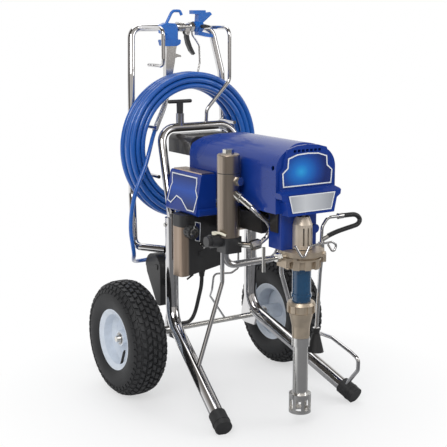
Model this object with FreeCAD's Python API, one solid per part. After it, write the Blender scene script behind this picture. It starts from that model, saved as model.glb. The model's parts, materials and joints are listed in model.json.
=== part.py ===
import FreeCAD, Part
import math
import os

from FreeCAD import Vector

# Electric airless paint sprayer on a two-wheel chrome cart. Millimetres, +Z up, +X to the machine's right
# seen from its front, -Y to the front. While it is built Y = 0 is the axle; the pieces are then moved so that
# the origin lies on the floor under the middle of the machine.

# Wheels and axle
tyre_diameter = 330.0
tyre_width = 110.0
wheel_track = 544.0
rim_diameter = 176.0
rim_width = 88.0
bead_diameter = 154.0
hub_outboard = 24.0
hub_inboard = 62.0
hub_diameter = 44.0
bearing_diameter = 35.0
bearing_width = 11.0
axle_diameter = 16.0
shoulder_lugs = 34
lug_depth = 7.0
running_gap = 0.05
rest_gap = 0.3

# Cart tubes
leg_diameter = 38.0
leg_wall = 2.0
leg_spacing = 274.0
leg_top_z = 505.0
leg_bend_z = 203.0
leg_y = -27.0
leg_slope_deg = 24.1
leg_splay_deg = 11.9
leg_bend_radius = 78.0
cap_diameter = 47.0
cap_length = 52.0
cap_flat = 1.5
arch_diameter = 25.4
arch_wall = 1.8
arch_top_z = 750.0
arch_top_y = 55.0
arch_half_width = 124.0
arch_bend_radius = 50.0
handle_diameter = 22.0
handle_wall = 1.5
handle_top_z = 1033.0
handle_top_y = 193.0
handle_half_width = 138.0
handle_bend_radius = 34.0
rack_wire = 11.0
rack_front_y = 47.0
rack_half_width = 110.0
rack_bend_drop = 153.0
rack_hook_drop = 105.0
brace_diameter = 12.0
cradle_diameter = 20.0
cradle_y = -235.0
cradle_z = 398.0
cradle_half_width = 90.0
deck_z = 500.0
deck_thickness = 6.0
loop_wire = 11.0
hook_wire = 6.0

# Pull pin on the arch
pin_x = -57.0
pin_diameter = 10.0
ferrule_diameter = 24.0
ferrule_height = 28.0

# Tool box
box_x = -133.0
box_y = 54.0
box_top_z = 386.0
box_seam_z = 350.0
box_bottom_z = 236.0
box_width = 42.0
box_depth = 84.0
box_wall = 2.5

# Motor and cover
motor_z = 612.0
motor_diameter = 142.0
motor_front_y = -392.0
motor_rear_y = -125.0
motor_wall = 6.0
stator_bore = 80.0
rotor_gap = 1.0
shaft_diameter = 16.0
shroud_half_width = 95.0
shroud_front_y = -472.0
shroud_rear_y = -60.0
shroud_top_z = 752.5
shroud_bottom_z = 578.0
shroud_wall = 3.0
shroud_shoulder = 55.0
shroud_shoulder_z = 686.0
badge_y = -477.0
lower_plate_y = -498.5
rear_cowl_top_z = 733.0
rear_cowl_rear_y = 78.0

# Gear train: pinion on the motor shaft, reduction gear, crank gear
pinion_teeth = 10
reduction_teeth = 50
fast_module = 1.6
second_teeth = 12
crank_teeth = 46
slow_module = 2.0
crank_z = 598.0
stroke = 44.0
crank_pin_diameter = 12.0
journal_diameter = 60.0

# Pump
pump_y = -460.0
rod_diameter = 24.0
mount_top_z = 476.0
mount_height = 48.0
mount_diameter = 116.0
sleeve_diameter = 50.0
sleeve_bore = 36.0
sleeve_bottom_z = 336.0
intake_diameter = 76.0
intake_bottom_z = 239.0
intake_tube_diameter = 40.0
intake_tube_bore = 34.0
strainer_diameter = 59.0
strainer_top_z = 84.0
strainer_bottom_z = 32.0
ball_diameter = 22.0
cover_diameter = 52.0
cover_bottom_z = 478.0
cover_top_z = 562.0
clamp_z = 462.0
clamp_bar = 64.0

# Filter, manifold and drain
filter_x = -130.0
filter_y = -310.0
filter_diameter = 60.0
filter_wall = 6.0
filter_bottom_z = 498.0
filter_top_z = 717.0
filter_cap_height = 50.0
manifold_bottom_z = 456.0
pipe_diameter = 12.7
drain_diameter = 10.0
drain_x = 79.0
drain_y = -440.0

# Control box and electric box
control_rear_y = -42.0
control_front_y = -203.0
control_top_z = 648.0
control_bottom_z = 536.0
control_wall = 3.0
knob_diameter = 37.0
knob_z = 493.0
knob_x = -169.0
ebox_left_x = -190.0
ebox_right_x = -62.0
ebox_front_y = -175.0
ebox_rear_y = -110.0
ebox_bottom_z = 364.0
ebox_rise = 22.0

# Gun
gun_y = 160.0
gun_thickness = 26.0
gun_lift = 3.0
barrel_diameter = 22.0
gun_handle_thickness = 18.0

# Hoses and cord
hose_diameter = 15.5
hose_turns_per_layer = 3
hose_layers = 4
coil_outer_diameter = 448.0
coil_turn_pitch = 16.5
coil_layer_pitch = 16.2
coil_center_x = 4.0
coil_center_z = 690.0
coil_start_deg = 300.0
coil_front_y = 72.5
whip_diameter = 12.0
cord_diameter = 11.0
cord_bend_share = 0.45
cord_coil_center = (-155.0, 190.0)
cord_coil_radius = 66.0
cord_coil_pitch = 11.8

axle_z = tyre_diameter / 2
filter_seam_z = filter_top_z - filter_cap_height
wheel_x = wheel_track / 2
leg_x = leg_spacing / 2
X_AXIS, Y_AXIS, Z_AXIS = Vector(1, 0, 0), Vector(0, 1, 0), Vector(0, 0, 1)

made = {}


def keep(name, *solids):
    """Stores a node made of one or more separate solids."""
    made[name] = solids[0] if len(solids) == 1 else Part.makeCompound(list(solids))


def bar(start, end, diameter):
    """A round bar between two points."""
    run = end - start
    return Part.makeCylinder(diameter / 2, run.Length, start, run)


def bush(start, end, diameter, bore):
    """A ring or sleeve between two points."""
    run = end - start
    grow = run.normalize() * 1.0
    return bar(start, end, diameter).cut(bar(start - grow, end + grow, bore))


def taper(start, end, first, last):
    """A cone between two points, by its two diameters."""
    run = end - start
    return Part.makeCone(first / 2, last / 2, run.Length, start, run)


def block(x, y, z):
    """A box from three (low, high) pairs."""
    return Part.makeBox(x[1] - x[0], y[1] - y[0], z[1] - z[0], Vector(x[0], y[0], z[0]))


def rounded(shape, radius, chosen):
    """Fillets the edges that the test picks."""
    edges = [e for e in shape.Edges if chosen(e)]
    return shape.makeFillet(radius, edges)


def runs_along(edge, axis):
    """True for a straight edge parallel to an axis."""
    a, b = edge.Vertexes[0].Point, edge.Vertexes[-1].Point
    return (b - a).Length > 1e-6 and abs((b - a).normalize().dot(axis)) > 0.999


def polygon(points, thickness):
    """A flat face through the points, pushed along a thickness vector."""
    wire = Part.makePolygon(list(points) + [points[0]])
    return Part.Face(wire).extrude(thickness)


def side_plate(outline, x_low, x_high):
    """A plate across X whose outline is a list of (y, z) points."""
    points = [Vector(x_low, y, z) for y, z in outline]
    return polygon(points, Vector(x_high - x_low, 0, 0))


def front_plate(outline, y_front, y_back):
    """A plate across Y whose outline is a list of (x, z) points."""
    points = [Vector(x, y_front, z) for x, z in outline]
    return polygon(points, Vector(0, y_back - y_front, 0))


def turned(outline, base, axis):
    """A solid of revolution whose outline is (distance along the axis, radius) pairs."""
    side = Vector(0, 0, 1) if abs(axis.z) < 0.5 else Vector(1, 0, 0)
    points = [base + axis * a + side * r for a, r in outline]
    face = Part.Face(Part.makePolygon(points + [points[0]]))
    return face.revolve(base, axis, 360)


def hexagon(start, end, across_flats):
    """A hexagonal bar between two points."""
    run = end - start
    lift = run.normalize()
    side = lift.cross(Z_AXIS if abs(lift.z) < 0.9 else X_AXIS).normalize()
    other = lift.cross(side)
    reach = across_flats / math.sqrt(3)
    corners = []
    for n in range(6):
        turn = math.radians(60 * n)
        corners.append(start + side * (reach * math.cos(turn)) + other * (reach * math.sin(turn)))
    return polygon(corners, end - start)


def bend_radii(points, wanted):
    """The radius at each inner point, as wanted or as large as its two runs allow."""
    radii = []
    for before, here, after in zip(points, points[1:], points[2:]):
        half_turn = (here - before).getAngle(after - here) / 2
        shorter = min((here - before).Length, (after - here).Length)
        allowed = cord_bend_share * shorter / math.tan(half_turn)
        radii.append(allowed if wanted is None else min(wanted, allowed))
    return radii


def centre_line(points, wanted=None):
    """A wire of straight runs joined by tangent arcs."""
    edges, last = [], points[0]
    radii = bend_radii(points, wanted)
    for index, radius in enumerate(radii):
        here = points[index + 1]
        back = (points[index] - here).normalize()
        ahead = (points[index + 2] - here).normalize()
        half_turn = (back * -1).getAngle(ahead) / 2
        trim = radius * math.tan(half_turn)
        start, end = here + back * trim, here + ahead * trim
        to_centre = (back + ahead).normalize()
        middle = here + to_centre * (radius / math.cos(half_turn) - radius)
        if (start - last).Length > 1e-4:
            edges.append(Part.LineSegment(last, start).toShape())
        edges.append(Part.Arc(start, middle, end).toShape())
        last = end
    edges.append(Part.LineSegment(last, points[-1]).toShape())
    return Part.Wire(edges)


def sweep(wire, start, ahead, diameter):
    """A round tube pushed along a wire."""
    ring = Part.Wire([Part.Circle(start, ahead, diameter / 2).toShape()])
    return wire.makePipeShell([ring], True, False)


def bent_bar(points, diameter, wanted=None):
    """A round bar along a bent line."""
    return sweep(centre_line(points, wanted), points[0], points[1] - points[0], diameter)


def bent_tube(points, diameter, wall, wanted=None):
    """A bent tube with open ends, and the core that was taken out of it."""
    outer = bent_bar(points, diameter, wanted)
    core = bent_bar(points, diameter - 2 * wall, wanted)
    return outer.cut(core), core


def mirrored(shape):
    """The same piece on the machine's other side."""
    return shape.mirror(Vector(0, 0, 0), X_AXIS)


def cord_tube(name, points, diameter):
    """A cord's free stretch, with its radii and its volume against its length printed."""
    wire = centre_line(points)
    solid = sweep(wire, points[0], points[1] - points[0], diameter)
    share = solid.Volume / (math.pi * diameter * diameter / 4 * wire.Length)
    radii = [round(r) for r in bend_radii(points, None)]
    print(name, "radii", radii, "length", round(wire.Length), "volume share", round(share, 4))
    return solid


def wheel(side):
    """Tyre with its valve stem, and rim, on the left (-1) or right (1) side."""
    centre = Vector(-wheel_x, 0, axle_z)
    out = Vector(-1, 0, 0)
    half, bead = tyre_width / 2, bead_diameter / 2
    radius, seat = tyre_diameter / 2, rim_width / 2 - 6
    crown = radius - bead

    def spot(along, r):
        return centre + out * along + Z_AXIS * r

    outer = [
        Part.LineSegment(spot(seat, bead), spot(seat + 1, bead + 8)).toShape(),
        Part.Arc(spot(seat + 1, bead + 8), spot(half, bead + 0.5 * crown), spot(half - 7, radius - 11)).toShape(),
        Part.Arc(spot(half - 7, radius - 11), spot(half - 11, radius - 4), spot(half - 20, radius)).toShape(),
        Part.LineSegment(spot(half - 20, radius), spot(-half + 20, radius)).toShape(),
        Part.Arc(spot(-half + 20, radius), spot(-half + 11, radius - 4), spot(-half + 7, radius - 11)).toShape(),
        Part.Arc(spot(-half + 7, radius - 11), spot(-half, bead + 0.5 * crown), spot(-seat - 1, bead + 8)).toShape(),
        Part.LineSegment(spot(-seat - 1, bead + 8), spot(-seat, bead)).toShape(),
        Part.LineSegment(spot(-seat, bead), spot(-seat + 8, bead)).toShape(),
        Part.Arc(spot(-seat + 8, bead), spot(-half + 8, bead + 0.5 * crown), spot(-half + 20, radius - 15)).toShape(),
        Part.LineSegment(spot(-half + 20, radius - 15), spot(half - 20, radius - 15)).toShape(),
        Part.Arc(spot(half - 20, radius - 15), spot(half - 8, bead + 0.5 * crown), spot(seat - 8, bead)).toShape(),
        Part.LineSegment(spot(seat - 8, bead), spot(seat, bead)).toShape(),
    ]
    tyre = Part.Face(Part.Wire(outer)).revolve(centre, out, 360)
    notches = []
    for n in range(shoulder_lugs):
        for end in (-1, 1):
            low = -wheel_x + end * (half - 32)
            high = -wheel_x + end * (half + 5)
            notch = block(sorted((low, high)), (-4.5, 4.5), (axle_z + radius - lug_depth, axle_z + radius + 5))
            turn = 360 / shoulder_lugs * (n + (0.25 if end > 0 else -0.25))
            notches.append(notch.rotate(centre, X_AXIS, turn))
    for end in (-1, 1):
        groove = bush(centre + out * (end * 16 - 2.5), centre + out * (end * 16 + 2.5),
                      tyre_diameter + 4, tyre_diameter - 2 * lug_depth)
        notches.append(groove)
    tyre = tyre.cut(Part.makeCompound(notches))

    lip, flange = rim_width / 2, rim_diameter / 2
    hub, pocket, shaft_hole = hub_diameter / 2, bearing_diameter / 2, axle_diameter / 2 + 4
    rim = turned(
        [(lip, flange), (lip, flange - 4), (lip - 7, bead - 5), (12, bead - 6), (2, bead - 17), (-2, 34),
         (4, hub + 2), (hub_outboard, hub), (hub_outboard, pocket), (hub_outboard - bearing_width, pocket),
         (hub_outboard - bearing_width, shaft_hole), (-hub_inboard + bearing_width, shaft_hole),
         (-hub_inboard + bearing_width, pocket), (-hub_inboard, pocket), (-hub_inboard, hub), (-9, hub),
         (-7, 34), (-3, bead - 17), (5, bead - 6), (-lip + 7, bead - 5), (-lip, flange - 4), (-lip, flange),
         (-lip + 4, flange), (-lip + 7, bead), (lip - 7, bead), (lip - 4, flange)],
        centre, out)
    stem_way = (Vector(-0.28, 0, -1)).normalize()
    stem_end = centre + out * 20 + Vector(0, -14, -47)
    stem = bar(stem_end - stem_way * 3, stem_end + stem_way * 26, 8)
    cap = bar(stem_end - stem_way * 11, stem_end - stem_way * 3, 9)
    tyre = tyre.cut(rim)
    rim = rim.cut(bar(stem_end, stem_end + stem_way * 40, 8))
    pieces = [Part.makeCompound([tyre, stem.fuse(cap).cut(tyre)]), rim]
    return pieces if side < 0 else [mirrored(p) for p in pieces]


def leg_end():
    """The bend point, the foot's end point and the leg's direction on the left side."""
    slope, splay = math.radians(leg_slope_deg), math.radians(leg_splay_deg)
    way = Vector(-math.cos(slope) * math.sin(splay), -math.cos(slope) * math.cos(splay), -math.sin(slope))
    bend = Vector(-leg_x, leg_y, leg_bend_z)
    drop = leg_bend_z - (cap_diameter / 2 * math.cos(slope) - cap_flat)
    return bend, bend + way * (drop / math.sin(slope)), way


def legs():
    """Both bent leg tubes with their axle plates, and the rubber caps."""
    bend, foot, way = leg_end()
    points = [Vector(-leg_x, leg_y, leg_top_z), bend, foot - way * 8]
    tube, core = bent_tube(points, leg_diameter, leg_wall, leg_bend_radius)
    collar = bush(Vector(-leg_x, leg_y, leg_top_z - 14), Vector(-leg_x, leg_y, leg_top_z),
                  leg_diameter, arch_diameter)
    plate = side_plate([(leg_y + 4, 262), (leg_y + 22, 250), (15, axle_z + 14), (15, axle_z - 12), (4, axle_z - 18),
                        (-52, axle_z - 16), (-60, axle_z + 6), (leg_y - 6, 200)], -leg_x - 3, -leg_x + 3)
    plate = plate.cut(bar(Vector(-leg_x - 10, 0, axle_z), Vector(-leg_x + 10, 0, axle_z), axle_diameter))
    left = tube.fuse(collar).fuse(plate.cut(core)).removeSplitter()
    keep("leg_tube_left", left)
    keep("leg_tube_right", mirrored(left))
    cap = bar(foot - way * cap_length, foot, cap_diameter)
    cap = cap.fuse(bar(foot - way * 22, foot - way * 16, cap_diameter + 2))
    cap = cap.cut(bar(foot - way * (cap_length + 1), foot - way * 8, leg_diameter))
    cap = cap.cut(block((-400, 0), (-600, 0), (-50, 0)))
    keep("foot_caps", cap, mirrored(cap))


def upper_tubes():
    """The arch with its ferrule, the handle and the hose rack."""
    half, corner = arch_half_width, arch_bend_radius
    points = [Vector(-leg_x, leg_y, leg_top_z - 40), Vector(-leg_x, leg_y, leg_top_z + 15),
              Vector(-half, arch_top_y, arch_top_z), Vector(half, arch_top_y, arch_top_z),
              Vector(leg_x, leg_y, leg_top_z + 15), Vector(leg_x, leg_y, leg_top_z - 40)]
    arch_outer = bent_bar(points, arch_diameter, corner)
    core = bent_bar(points, arch_diameter - 2 * arch_wall, corner)
    foot = Vector(pin_x, arch_top_y, arch_top_z)
    top = foot + Z_AXIS * (arch_diameter / 2 + ferrule_height)
    ferrule = bar(foot, top, ferrule_diameter)
    hole = bar(foot - Z_AXIS * 4, top + Z_AXIS, pin_diameter + 2 * running_gap * 4)
    arch = arch_outer.fuse(ferrule).cut(core).cut(hole)
    keep("arch_tube", arch)
    shaft = bar(foot - Z_AXIS * 2, top + Z_AXIS * 8, pin_diameter)
    knob_base = top + Z_AXIS * rest_gap
    stem = taper(knob_base, knob_base + Z_AXIS * 32, 19, 20)
    grip = bar(knob_base + Vector(-35, 0, 34), knob_base + Vector(35, 0, 34), 11)
    grip = grip.fuse(Part.makeSphere(5.5, knob_base + Vector(-35, 0, 34)))
    grip = grip.fuse(Part.makeSphere(5.5, knob_base + Vector(35, 0, 34)))
    keep("pin_knob", shaft.fuse(stem).fuse(grip))

    side = [Vector(-leg_x - 14, leg_y + 12, 410), Vector(-207, 68, 412), Vector(-166, 151, 545),
            Vector(-156, 164, handle_top_z - 133), Vector(-handle_half_width, handle_top_y, handle_top_z)]
    other = [Vector(-p.x, p.y, p.z) for p in reversed(side)]
    handle, handle_core = bent_tube(side + other, handle_diameter, handle_wall, handle_bend_radius)
    handle = handle.cut(Part.makeCompound([made["leg_tube_left"], made["leg_tube_right"]]))
    inside = [bar(Vector(s * leg_x, leg_y, 300), Vector(s * leg_x, leg_y, 480), leg_diameter) for s in (-1, 1)]
    handle = handle.cut(Part.makeCompound(inside))
    keep("rear_handle", handle)

    front, top_z, out_x = rack_front_y, handle_top_z + 1, rack_half_width
    bend_z, hook_z = handle_top_z - rack_bend_drop, handle_top_z - rack_hook_drop
    right = bent_bar([Vector(out_x, handle_top_y - 4, top_z), Vector(out_x, front, top_z),
                      Vector(out_x, front, bend_z), Vector(32, front + 4, arch_top_z + 47),
                      Vector(32, arch_top_y, arch_top_z)], rack_wire, 26)
    left = bent_bar([Vector(-out_x - 5, handle_top_y - 4, top_z), Vector(-out_x - 5, front, top_z),
                     Vector(-out_x - 5, front, hook_z), Vector(-out_x - 5, front + 84, hook_z)], rack_wire, 20)
    prongs = []
    for x_side in (-1, 1):
        for z in (coil_center_z + 62, coil_center_z - 82):
            reach = math.sqrt(151 ** 2 - (z - coil_center_z) ** 2)
            tip_x = coil_center_x + x_side * reach
            prongs.append(bent_bar([Vector(x_side * 163, 158, z), Vector(tip_x, 151, z),
                                    Vector(tip_x, 66, z)], rack_wire, 12))
    handle_bar = bent_bar(side + other, handle_diameter, handle_bend_radius)
    stays = Part.makeCompound([handle_bar, arch_outer])
    keep("hose_rack", *[piece.cut(stays) for piece in [right, left] + prongs])


def cradle_and_rods():
    """The U-shaped cradle with its deck, the braces, the leg loop and the wire hooks."""
    half, y, z = cradle_half_width, cradle_y, cradle_z
    frame = bent_bar([Vector(-half, y, deck_z), Vector(-half, y, z), Vector(half, y, z), Vector(half, y, deck_z)],
                     cradle_diameter, 30)
    deck = block((-half - 14, half + 14), (y - 30, -115), (deck_z, deck_z + deck_thickness))
    rails = [bar(Vector(leg_x, leg_y, 470), Vector(half + 4, y, 470), cradle_diameter),
             bent_bar([Vector(-leg_x, leg_y, 472), Vector(-46, -64, 484), Vector(-46, y + 12, 492)],
                      cradle_diameter, 30)]
    leg_space = [bar(Vector(s * leg_x, leg_y, 300), Vector(s * leg_x, leg_y, 503), leg_diameter) for s in (-1, 1)]
    arm = block((-half - 34, -half), (y - 47.7, y + 4), (462, 476))
    cradle = frame.fuse(rails + [deck, arm]).cut(Part.makeCompound(leg_space))
    keep("drive_cradle", cradle.removeSplitter())

    bend, foot, way = leg_end()
    leg_spot = bend + way * ((y + 3 - bend.y) / way.y)
    leg_bar = bar(bend, foot, leg_diameter)
    rods = []
    for s in (-1, 1):
        low = Vector(-s * leg_spot.x * -1, leg_spot.y, leg_spot.z + 4)
        low.x = s * abs(leg_spot.x)
        rod = bent_bar([Vector(s * (half + 10), y, 440), Vector(s * (half + 10), y, 353), low],
                       brace_diameter, 40)
        leg = leg_bar if s < 0 else mirrored(leg_bar)
        rods.append(rod.cut(leg).cut(made["drive_cradle"]))
    right_leg = mirrored(leg_bar)
    loop = bent_bar([Vector(181, -225, 106), Vector(199, -257, 146), Vector(200, -294, 172), Vector(200, -345, 173),
                     Vector(202, -424, 152), Vector(205, -455, 138), Vector(207, -452, 105),
                     Vector(207, -405, 52)], loop_wire, 16)
    rods.append(loop.cut(right_leg).cut(made["foot_caps"]))
    hook = bent_bar([Vector(44, -100, 497), Vector(44, -100, 347), Vector(24, -94, 334), Vector(-34, -90, 338),
                     Vector(-34, -80, 290), Vector(-22, -50, 262), Vector(60, -2, 172)], hook_wire, 12)
    rods.append(hook.cut(bar(Vector(-300, 0, axle_z), Vector(300, 0, axle_z), axle_diameter)))
    pail_y = pump_y - mount_diameter / 2 + 6
    pail = bent_bar([Vector(-62, pail_y, 500), Vector(-41, pail_y - 8, 462), Vector(-22, pail_y - 8, 497),
                     Vector(50, pail_y - 8, 499), Vector(66, pail_y - 8, 490), Vector(56, pail_y - 8, 468),
                     Vector(44, pail_y, 492)], hook_wire, 8)
    rods.append(pail)
    keep("bent_rods", *rods)


def axle_and_fasteners():
    """The axle bar and the group of washers, spacers, caps and bolts."""
    end = wheel_x + hub_outboard + 9
    low, high = Vector(-end, 0, axle_z), Vector(end, 0, axle_z)
    keep("axle", bar(low, high, axle_diameter))
    small = []
    for s in (-1, 1):
        hub_end = s * (wheel_x + hub_outboard)
        inner_end = s * (wheel_x - hub_inboard)

        def on_axle(x):
            return Vector(x, 0, axle_z)

        small.append(bush(on_axle(hub_end + s * rest_gap), on_axle(hub_end + s * 3), 26, axle_diameter))
        dome = taper(on_axle(hub_end + s * 3), on_axle(hub_end + s * 12), 24, 16)
        small.append(dome.cut(bar(low, high, axle_diameter)))
        small.append(bush(on_axle(inner_end - s * rest_gap), on_axle(s * (leg_x + 3)), 24, axle_diameter))
        small.append(hexagon(Vector(s * 96, -150, deck_z + deck_thickness),
                             Vector(s * 96, -150, deck_z + deck_thickness + 5), 13))
        small.append(hexagon(Vector(s * 96, -250, deck_z + deck_thickness),
                             Vector(s * 96, -250, deck_z + deck_thickness + 5), 13))
        small.append(hexagon(Vector(s * (leg_x + 15), leg_y, 485), Vector(s * (leg_x + 24), leg_y, 485), 10)
                     .cut(bar(Vector(s * leg_x, leg_y, 460), Vector(s * leg_x, leg_y, 500), leg_diameter)))
    keep("fasteners", *small)


def ring_bearing(centre, axis, outer, bore, width):
    """One plain bearing ring."""
    return bush(centre - axis * (width / 2), centre + axis * (width / 2), outer, bore)


def tool_box():
    """A narrow tapered box behind the left leg with a hinged domed lid."""
    half_x, y0, y1 = box_width / 2, box_y - box_depth / 2, box_y + box_depth / 2
    shell = side_plate([(y0, box_seam_z), (y1, box_seam_z), (y1 - 6, box_seam_z - 24), (y0 + 20, box_bottom_z),
                        (y0, box_bottom_z)], box_x - half_x, box_x + half_x)
    shell = rounded(shell, 6, lambda e: runs_along(e, X_AXIS) and e.BoundBox.ZMax < box_seam_z - 1)
    hollow = side_plate([(y0 + box_wall, box_seam_z + 1), (y1 - box_wall, box_seam_z + 1),
                         (y1 - box_wall - 6, box_seam_z - 22), (y0 + 17, box_bottom_z + 6),
                         (y0 + box_wall, box_bottom_z + 6)],
                        box_x - half_x + box_wall, box_x + half_x - box_wall)
    tray = shell.cut(hollow)
    axis_y, axis_z = y1 + 5, box_seam_z - 6
    ear = bush(Vector(box_x - 8, axis_y, axis_z), Vector(box_x + 8, axis_y, axis_z), 9, 4.2)
    web = block((box_x - 8, box_x + 8), (y1 - 4, axis_y - 2.6), (axis_z - 4, axis_z + 4))
    tray = tray.fuse(web).fuse(ear)
    stay = block((box_x - 10, box_x + 10), (leg_y + leg_diameter / 2 - 3, y0 + 1), (300, 318))
    stay = stay.cut(bar(Vector(-leg_x, leg_y, 250), Vector(-leg_x, leg_y, 350), leg_diameter))
    keep("tool_box", tray.fuse(stay).removeSplitter())

    rise = box_top_z - box_seam_z - rest_gap
    base_z = box_seam_z + rest_gap
    dome = Part.Face(Part.Wire([
        Part.LineSegment(Vector(box_x - half_x, y0, base_z), Vector(box_x - half_x, y1, base_z)).toShape(),
        Part.Arc(Vector(box_x - half_x, y1, base_z), Vector(box_x - half_x, box_y, base_z + rise),
                 Vector(box_x - half_x, y0, base_z)).toShape()])).extrude(Vector(box_width, 0, 0))
    inner_rise = rise - box_wall
    inner = Part.Face(Part.Wire([
        Part.LineSegment(Vector(box_x - half_x + box_wall, y0 + 4, base_z - 0.1),
                         Vector(box_x - half_x + box_wall, y1 - 4, base_z - 0.1)).toShape(),
        Part.Arc(Vector(box_x - half_x + box_wall, y1 - 4, base_z - 0.1),
                 Vector(box_x - half_x + box_wall, box_y, base_z + inner_rise),
                 Vector(box_x - half_x + box_wall, y0 + 4, base_z - 0.1)).toShape()
    ])).extrude(Vector(box_width - 2 * box_wall, 0, 0))
    lid = dome.cut(inner)
    knuckles = []
    for s in (-1, 1):
        near, far = box_x + s * 8.3, box_x + s * 16
        knuckle = bar(Vector(near, axis_y, axis_z), Vector(far, axis_y, axis_z), 9)
        strap = block(sorted((near, far)), (axis_y - 2, axis_y + 4.5), (axis_z, base_z + 6))
        reach = block(sorted((near, far)), (y1 - 8, axis_y + 4.5), (base_z + 1.5, base_z + 6))
        knuckles += [knuckle, strap, reach]
    hinge_pin = bar(Vector(box_x - 15, axis_y, axis_z), Vector(box_x + 15, axis_y, axis_z), 4)
    lid = lid.fuse(knuckles).fuse(hinge_pin)
    latch = block((box_x - half_x - 2, box_x - half_x), (y0 + 14, y0 + 28), (base_z - 8, base_z + 6))
    keep("tool_box_lid", lid.fuse(latch))


def gear(teeth, module, base, axis, width, tooth_toward):
    """A spur gear with straight-flanked, backed-off teeth, one tooth pointing along a given direction."""
    pitch_radius = teeth * module / 2
    tip, root = pitch_radius + 0.62 * module, pitch_radius - 0.95 * module
    quarter = math.pi / (2 * teeth)
    start = tooth_toward.normalize()
    other = axis.cross(start)
    points = []
    for n in range(teeth):
        middle = 2 * math.pi * n / teeth
        for radius, share in ((root, -1.35), (tip, -0.40), (tip, 0.40), (root, 1.35)):
            turn = middle + share * quarter
            points.append(base + start * (radius * math.cos(turn)) + other * (radius * math.sin(turn)))
    return polygon(points, axis * width)


def gear_axes():
    """Where the reduction gear's axis lies, from the two centre distances."""
    first = (pinion_teeth + reduction_teeth) * fast_module / 2
    second = (second_teeth + crank_teeth) * slow_module / 2
    gap = motor_z - crank_z
    z = (second ** 2 - first ** 2 - crank_z ** 2 + motor_z ** 2) / (2 * gap)
    x = -math.sqrt(first ** 2 - (z - motor_z) ** 2)
    return x, z


def motor():
    """Motor housing with its front side plates and rear cowl, stator, and rotor with fan and pinion."""
    def on_axis(y):
        return Vector(0, y, motor_z)

    outer = bar(on_axis(motor_front_y), on_axis(motor_rear_y), motor_diameter)
    count = 9
    step = (motor_rear_y - motor_front_y - 60) / (count - 1)
    first = motor_front_y + 30
    grooves = [bush(on_axis(first + n * step + 4), on_axis(first + (n + 1) * step - 4),
                    motor_diameter + 4, motor_diameter - 6) for n in range(count - 1)]
    inner_front, inner_rear = motor_front_y + 10, motor_rear_y - 12
    inner = motor_diameter - 2 * motor_wall - 6
    cavity = bar(on_axis(inner_front), on_axis(inner_rear), inner)
    seat = bar(on_axis(motor_front_y - 1), on_axis(motor_rear_y - 4), bearing_diameter)
    foot = block((-60, 60), (motor_front_y + 30, motor_rear_y - 10),
                 (deck_z + deck_thickness, motor_z - motor_diameter / 2 + 16))
    cheeks = []
    for s in (-1, 1):
        outline = [(-436, 520), (-436, 576), (-391, 576), (-391, 600), (-372, 600), (-372, 574), (-400, 562), (-403, 520)]
        cheeks.append(side_plate(outline, *sorted((s * 58.4, s * 62))))
    shell = outer.cut(Part.makeCompound(grooves)).fuse([foot] + cheeks).cut(cavity).cut(seat)
    low, high = motor_z + 68, rear_cowl_top_z
    cowl = block((-86, 86), (shroud_rear_y + 6, rear_cowl_rear_y), (low, high))
    cowl = rounded(cowl, 18, lambda e: runs_along(e, Y_AXIS) and e.BoundBox.ZMin > high - 1)
    cowl = rounded(cowl, 9, lambda e: runs_along(e, Z_AXIS) and e.BoundBox.YMin > rear_cowl_rear_y - 1)
    fins = [block((-72.5 + 14 * n, -67.5 + 14 * n), (rear_cowl_rear_y - 12, rear_cowl_rear_y + 1),
                  (low + 6, high - 14)) for n in range(11)]
    room = block((-80, 80), (shroud_rear_y + 12, rear_cowl_rear_y - 18), (low + 6, high - 6))
    bridge = block((-40, 40), (motor_rear_y - 30, shroud_rear_y + 10), (low - 4, low + 16))
    duct = block((-34, 34), (motor_rear_y - 24, shroud_rear_y + 20), (low + 6, low + 12))
    cowl = cowl.cut(Part.makeCompound(fins + [room])).fuse(bridge).cut(duct)
    cowl = cowl.cut(bar(on_axis(motor_front_y), on_axis(motor_rear_y), motor_diameter))
    keep("motor_housing", shell, cowl)

    stator = bush(on_axis(inner_front + 45), on_axis(inner_rear - 55), inner, stator_bore)
    winding = bush(on_axis(inner_front + 25), on_axis(inner_front + 45), inner - 14, stator_bore + 6)
    rear_winding = bush(on_axis(inner_rear - 55), on_axis(inner_rear - 35), inner - 14, stator_bore + 6)
    keep("motor_stator", stator.fuse([winding, rear_winding]))

    core = bar(on_axis(inner_front + 45), on_axis(inner_rear - 55), stator_bore - 2 * rotor_gap)
    shaft = bar(on_axis(motor_front_y - 7), on_axis(motor_rear_y - 6), shaft_diameter)
    nose = bar(on_axis(motor_front_y - 27), on_axis(motor_front_y - 7), 10)
    hub = bar(on_axis(inner_rear - 30), on_axis(inner_rear - 10), 40)
    blades = []
    for n in range(7):
        blade = block((-1.5, 1.5), (inner_rear - 28, inner_rear - 12), (motor_z + 18, motor_z + 56))
        blades.append(blade.rotate(on_axis(0), Y_AXIS, 360 / 7 * n))
    x, z = gear_axes()
    pinion = gear(pinion_teeth, fast_module, on_axis(motor_front_y - 26), Y_AXIS, 16, Vector(x, 0, z - motor_z))
    keep("motor_rotor", core.fuse([shaft, nose, hub] + blades).fuse(pinion))


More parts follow.
